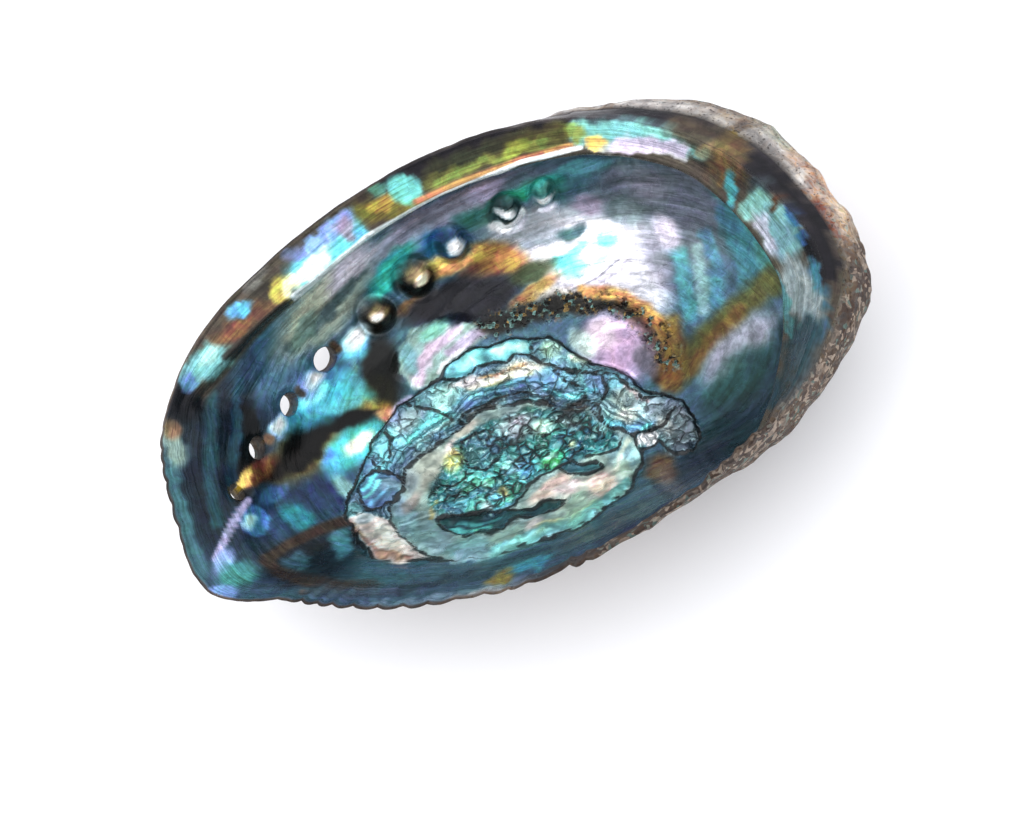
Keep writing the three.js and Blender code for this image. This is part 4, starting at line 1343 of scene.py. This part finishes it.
def crust_material():
    """The outside: chalky growth with pits, specks and worn spots."""
    material, n, shader = new_material("crust")
    _, _, bent, _ = common_fields(n)
    flow = n.attribute("flow").outputs["Vector"]
    paint = n.attribute("paint").outputs["Color"]
    chalk = n.noise(bent, 0.22, 5, 0.4, 0.65).outputs["Fac"]
    ridge = n.noise(n.scaled(flow, 1.6), 1.0, 3, 0.2).outputs["Fac"]
    pits = n.cells(bent, 1.0)
    speck = n.tones(pits)
    value = n.times(n.spread(chalk, 0.55, 1.4), n.ramp(ridge, 0.35, 0.65, 0.72, 1.2))
    chalky = n.tint(paint, n.spread(chalk, 0.485, 0.52), n.ramp(speck[0], 0, 1, 0.6, 1.2), value)
    chalky = n.mix(n.ramp(pits.outputs["Distance"], 0.06, 0.3, 0.75, 0), chalky, srgb(PIT))
    grain = n.attribute("grain").outputs["Fac"]
    chalky = n.mix(n.times(grain, n.ramp(speck[1], 0.86, 0.96, 0, 0.3)), chalky, srgb("#6f9a92"))
    chalky = n.mix(n.times(grain, n.ramp(speck[2], 0.6, 0.95, 0, 0.5)), chalky, srgb("#b8a694"))
    n.feed(shader, "Base Color", chalky)
    height = n.sum(n.ramp(pits.outputs["Distance"], 0, 0.4, 0, 0.5), n.times(chalk, 1.8))
    height = n.sum(height, n.times(ridge, 0.9))
    finish_surface(n, shader, 0.0, n.spread(chalk, 0.6, 0.85), 0.0, height)
    return material


# ---------------------------------------------------------------- the shell
FAR = 5  # mm: distances to lines are cut off here
SCAR_DEPTH = 5  # the scar lies deeper than this on the inner face
SPIN_STEPS = 40  # corners of a pore
PORE_REACH = 9  # mm from the inner face to each end of the bar that cuts a pore


def scar_places(skin, flat):
    """Places in the drawing plane, moved a little so that the scar's outlines are not smooth."""
    coarse = np.stack([noise(skin.points, 5, 81, 2), noise(skin.points, 5, 82, 2)], -1)
    fine = np.stack([noise(skin.points, 1.9, 83), noise(skin.points, 1.9, 84)], -1)
    return flat + 0.5 * coarse + 0.4 * fine


def scar_fields(skin, flat):
    """Distances to the scar's outline, its core and its dark lines, and its shares of bubbles and scales."""
    moved = scar_places(skin, flat)
    inside = outline_distance(moved, SCAR)
    core = outline_distance(moved, CORE)
    lines = [path_distance(moved, crease) for crease in CREASES]
    lines += [np.abs(outline_distance(moved, outline)) for outline in (CORE, TONGUE, CLAW, SHOE, SCALLOPS)]
    lines += [np.abs(radius - np.hypot(moved[:, 0] - a, moved[:, 1] - b)) + 0.1 for a, b, radius in RINGS]
    edges = np.clip(np.stack([inside, core, np.min(lines, axis=0)], -1), -FAR, FAR)
    edges[(skin.face != INNER) | (skin.depth < SCAR_DEPTH)] = (-FAR, -FAR, FAR)
    bubbly = smooth(outline_distance(moved, BUBBLES), -1, 1)
    whole = [outline_distance(moved, outline) for outline in (PLATE, SHOE, SCALLOPS)]
    plate = smooth(np.max(whole, axis=0), -0.4, 0.4)
    scaly = smooth(inside, -0.3, 0.3) * smooth(-core, -0.5, 0.5) * (1 - plate)
    return edges, np.stack([bubbly, scaly, 0 * scaly], -1)


def mesh_from(name, points, triangles):
    """A mesh of triangles, with points in metres."""
    mesh = bpy.data.meshes.new(name)
    mesh.vertices.add(len(points))
    mesh.vertices.foreach_set("co", points.astype(np.float32).ravel())
    mesh.loops.add(3 * len(triangles))
    mesh.loops.foreach_set("vertex_index", triangles.astype(np.int32).ravel())
    mesh.polygons.add(len(triangles))
    mesh.polygons.foreach_set("loop_start", np.arange(0, 3 * len(triangles), 3, dtype=np.int32))
    mesh.update(calc_edges=True)
    mesh.validate()
    return mesh


def pore_cutter(station, depth, long, wide):
    """An oval bar along a pore's axis, in metres."""
    centre, along, through = pore_frame(station, depth)
    across = np.cross(through, along)
    count = SPIN_STEPS
    spin = np.arange(count) * 2 * math.pi / count
    oval = 0.5 * (long * np.cos(spin)[:, None] * along + wide * np.sin(spin)[:, None] * across)
    ends = [centre + to_origin + end * through for end in (-PORE_REACH, PORE_REACH)]
    points = np.concatenate([ends[0] + oval, ends[1] + oval, ends[:1], ends[1:]]) * MM
    this = np.arange(count)
    ahead = np.roll(this, -1)
    low, high = 0 * this + 2 * count, 0 * this + 2 * count + 1
    sides = [(this, ahead, ahead + count), (this, ahead + count, this + count)]
    caps = [(ahead, this, low), (this + count, ahead + count, high)]
    triangles = np.concatenate([np.stack(part, -1) for part in sides + caps])
    mesh = mesh_from("pore", points, triangles)
    cutter = bpy.data.objects.new("pore", mesh)
    bpy.context.scene.collection.objects.link(cutter)
    return cutter


def cut_pores(shell):
    """Cuts the open pores through the wall."""
    for pore in OPEN_PORES:
        cutter = pore_cutter(*pore)
        cut = shell.modifiers.new("cut", "BOOLEAN")
        cut.operation = "DIFFERENCE"
        cut.object = cutter
        cut.solver = "MANIFOLD"
        bpy.context.view_layer.objects.active = shell
        bpy.ops.object.modifier_apply(modifier=cut.name)
        bpy.data.objects.remove(cutter)


def nearest_points(mesh, points):
    """For each vertex of the mesh, the number of the closest of the points it was made from."""
    tree = KDTree(len(points))
    for index, point in enumerate(points):
        tree.insert(point, index)
    tree.balance()
    return np.array([tree.find(vertex.co)[1] for vertex in mesh.vertices])


def add_attribute(mesh, name, kind, values):
    attribute = mesh.attributes.new(name, kind, "POINT")
    field = {"FLOAT_COLOR": "color", "FLOAT_VECTOR": "vector", "FLOAT": "value"}[kind]
    attribute.data.foreach_set(field, values.astype(np.float32).ravel())


def skin_relief(skin, flat):
    """Height over the smooth skin, in mm, fading out at the lip."""
    outer = np.where(skin.face == OUTER, outer_relief(skin), 0)
    inner = np.where(skin.face == INNER, inner_relief(skin, flat), 0)
    below_lip = OUTER_END - skin.depth * (skin.face == OUTER)
    fade = np.where(skin.face != INNER, smooth(below_lip, 0, 0.5), smooth(skin.depth, 0, 1.5))
    return (outer + inner) * fade


def shell_points(skin, flat):
    """The skin with its relief and the scallops of its edge, in metres, standing on the floor."""
    outward = skin.points - np.array([*BOTTOM, 0])
    outward[:, 2] = 0
    outward /= np.maximum(np.linalg.norm(outward, axis=1, keepdims=True), 1)
    waves = scallop(skin) * lip_fade(skin)
    points = skin.points + skin_relief(skin, flat)[:, None] * skin.normals() + waves[:, None] * outward
    points[:, 2] = np.maximum(points[:, 2], 0)
    return (points + to_origin) * MM


def add_surfaces(mesh, kind):
    """The four materials, on each face the one that the highest kind of its corners asks for."""
    mesh.materials.clear()
    for material in (nacre_material(False), nacre_material(True), scar_material(), crust_material()):
        mesh.materials.append(material)
    corners = np.zeros(len(mesh.loops), np.int32)
    mesh.loops.foreach_get("vertex_index", corners)
    starts = np.zeros(len(mesh.polygons), np.int32)
    mesh.polygons.foreach_get("loop_start", starts)
    highest = np.maximum.reduceat(kind[corners], starts)
    mesh.polygons.foreach_set("material_index", highest.astype(np.int32))


def build_shell():
    skin = Skin()
    flat = drawing(skin.points)
    points = shell_points(skin, flat)
    tints, is_crust, grain = paint_skin(skin, flat)
    edges, kinds = scar_fields(skin, flat)

    shell = bpy.data.objects.new("abalone_shell", mesh_from("abalone_shell", points, skin.triangles))
    bpy.context.scene.collection.objects.link(shell)
    cut_pores(shell)
    mesh = shell.data
    source = nearest_points(mesh, points)
    colours = np.concatenate([to_linear(np.clip(tints, 0, 1)), np.ones((len(tints), 1))], axis=1)
    add_attribute(mesh, "paint", "FLOAT_COLOR", colours[source])
    add_attribute(mesh, "edges", "FLOAT_VECTOR", edges[source])
    add_attribute(mesh, "kinds", "FLOAT_VECTOR", kinds[source])
    add_attribute(mesh, "grain", "FLOAT", grain[source])
    add_attribute(mesh, "flow", "FLOAT_VECTOR", flow_place(skin, 16, 1.4)[source])
    mesh.shade_smooth()
    kind = np.where(grain > 0.02, 1, 0)
    kind = np.where(edges[:, 0] > 0, 2, kind)
    kind = np.where(is_crust > 0.5, 3, kind)
    add_surfaces(mesh, kind[source])
    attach(shell, "root")
    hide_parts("shell")


add_camera()
add_studio()
build_shell()
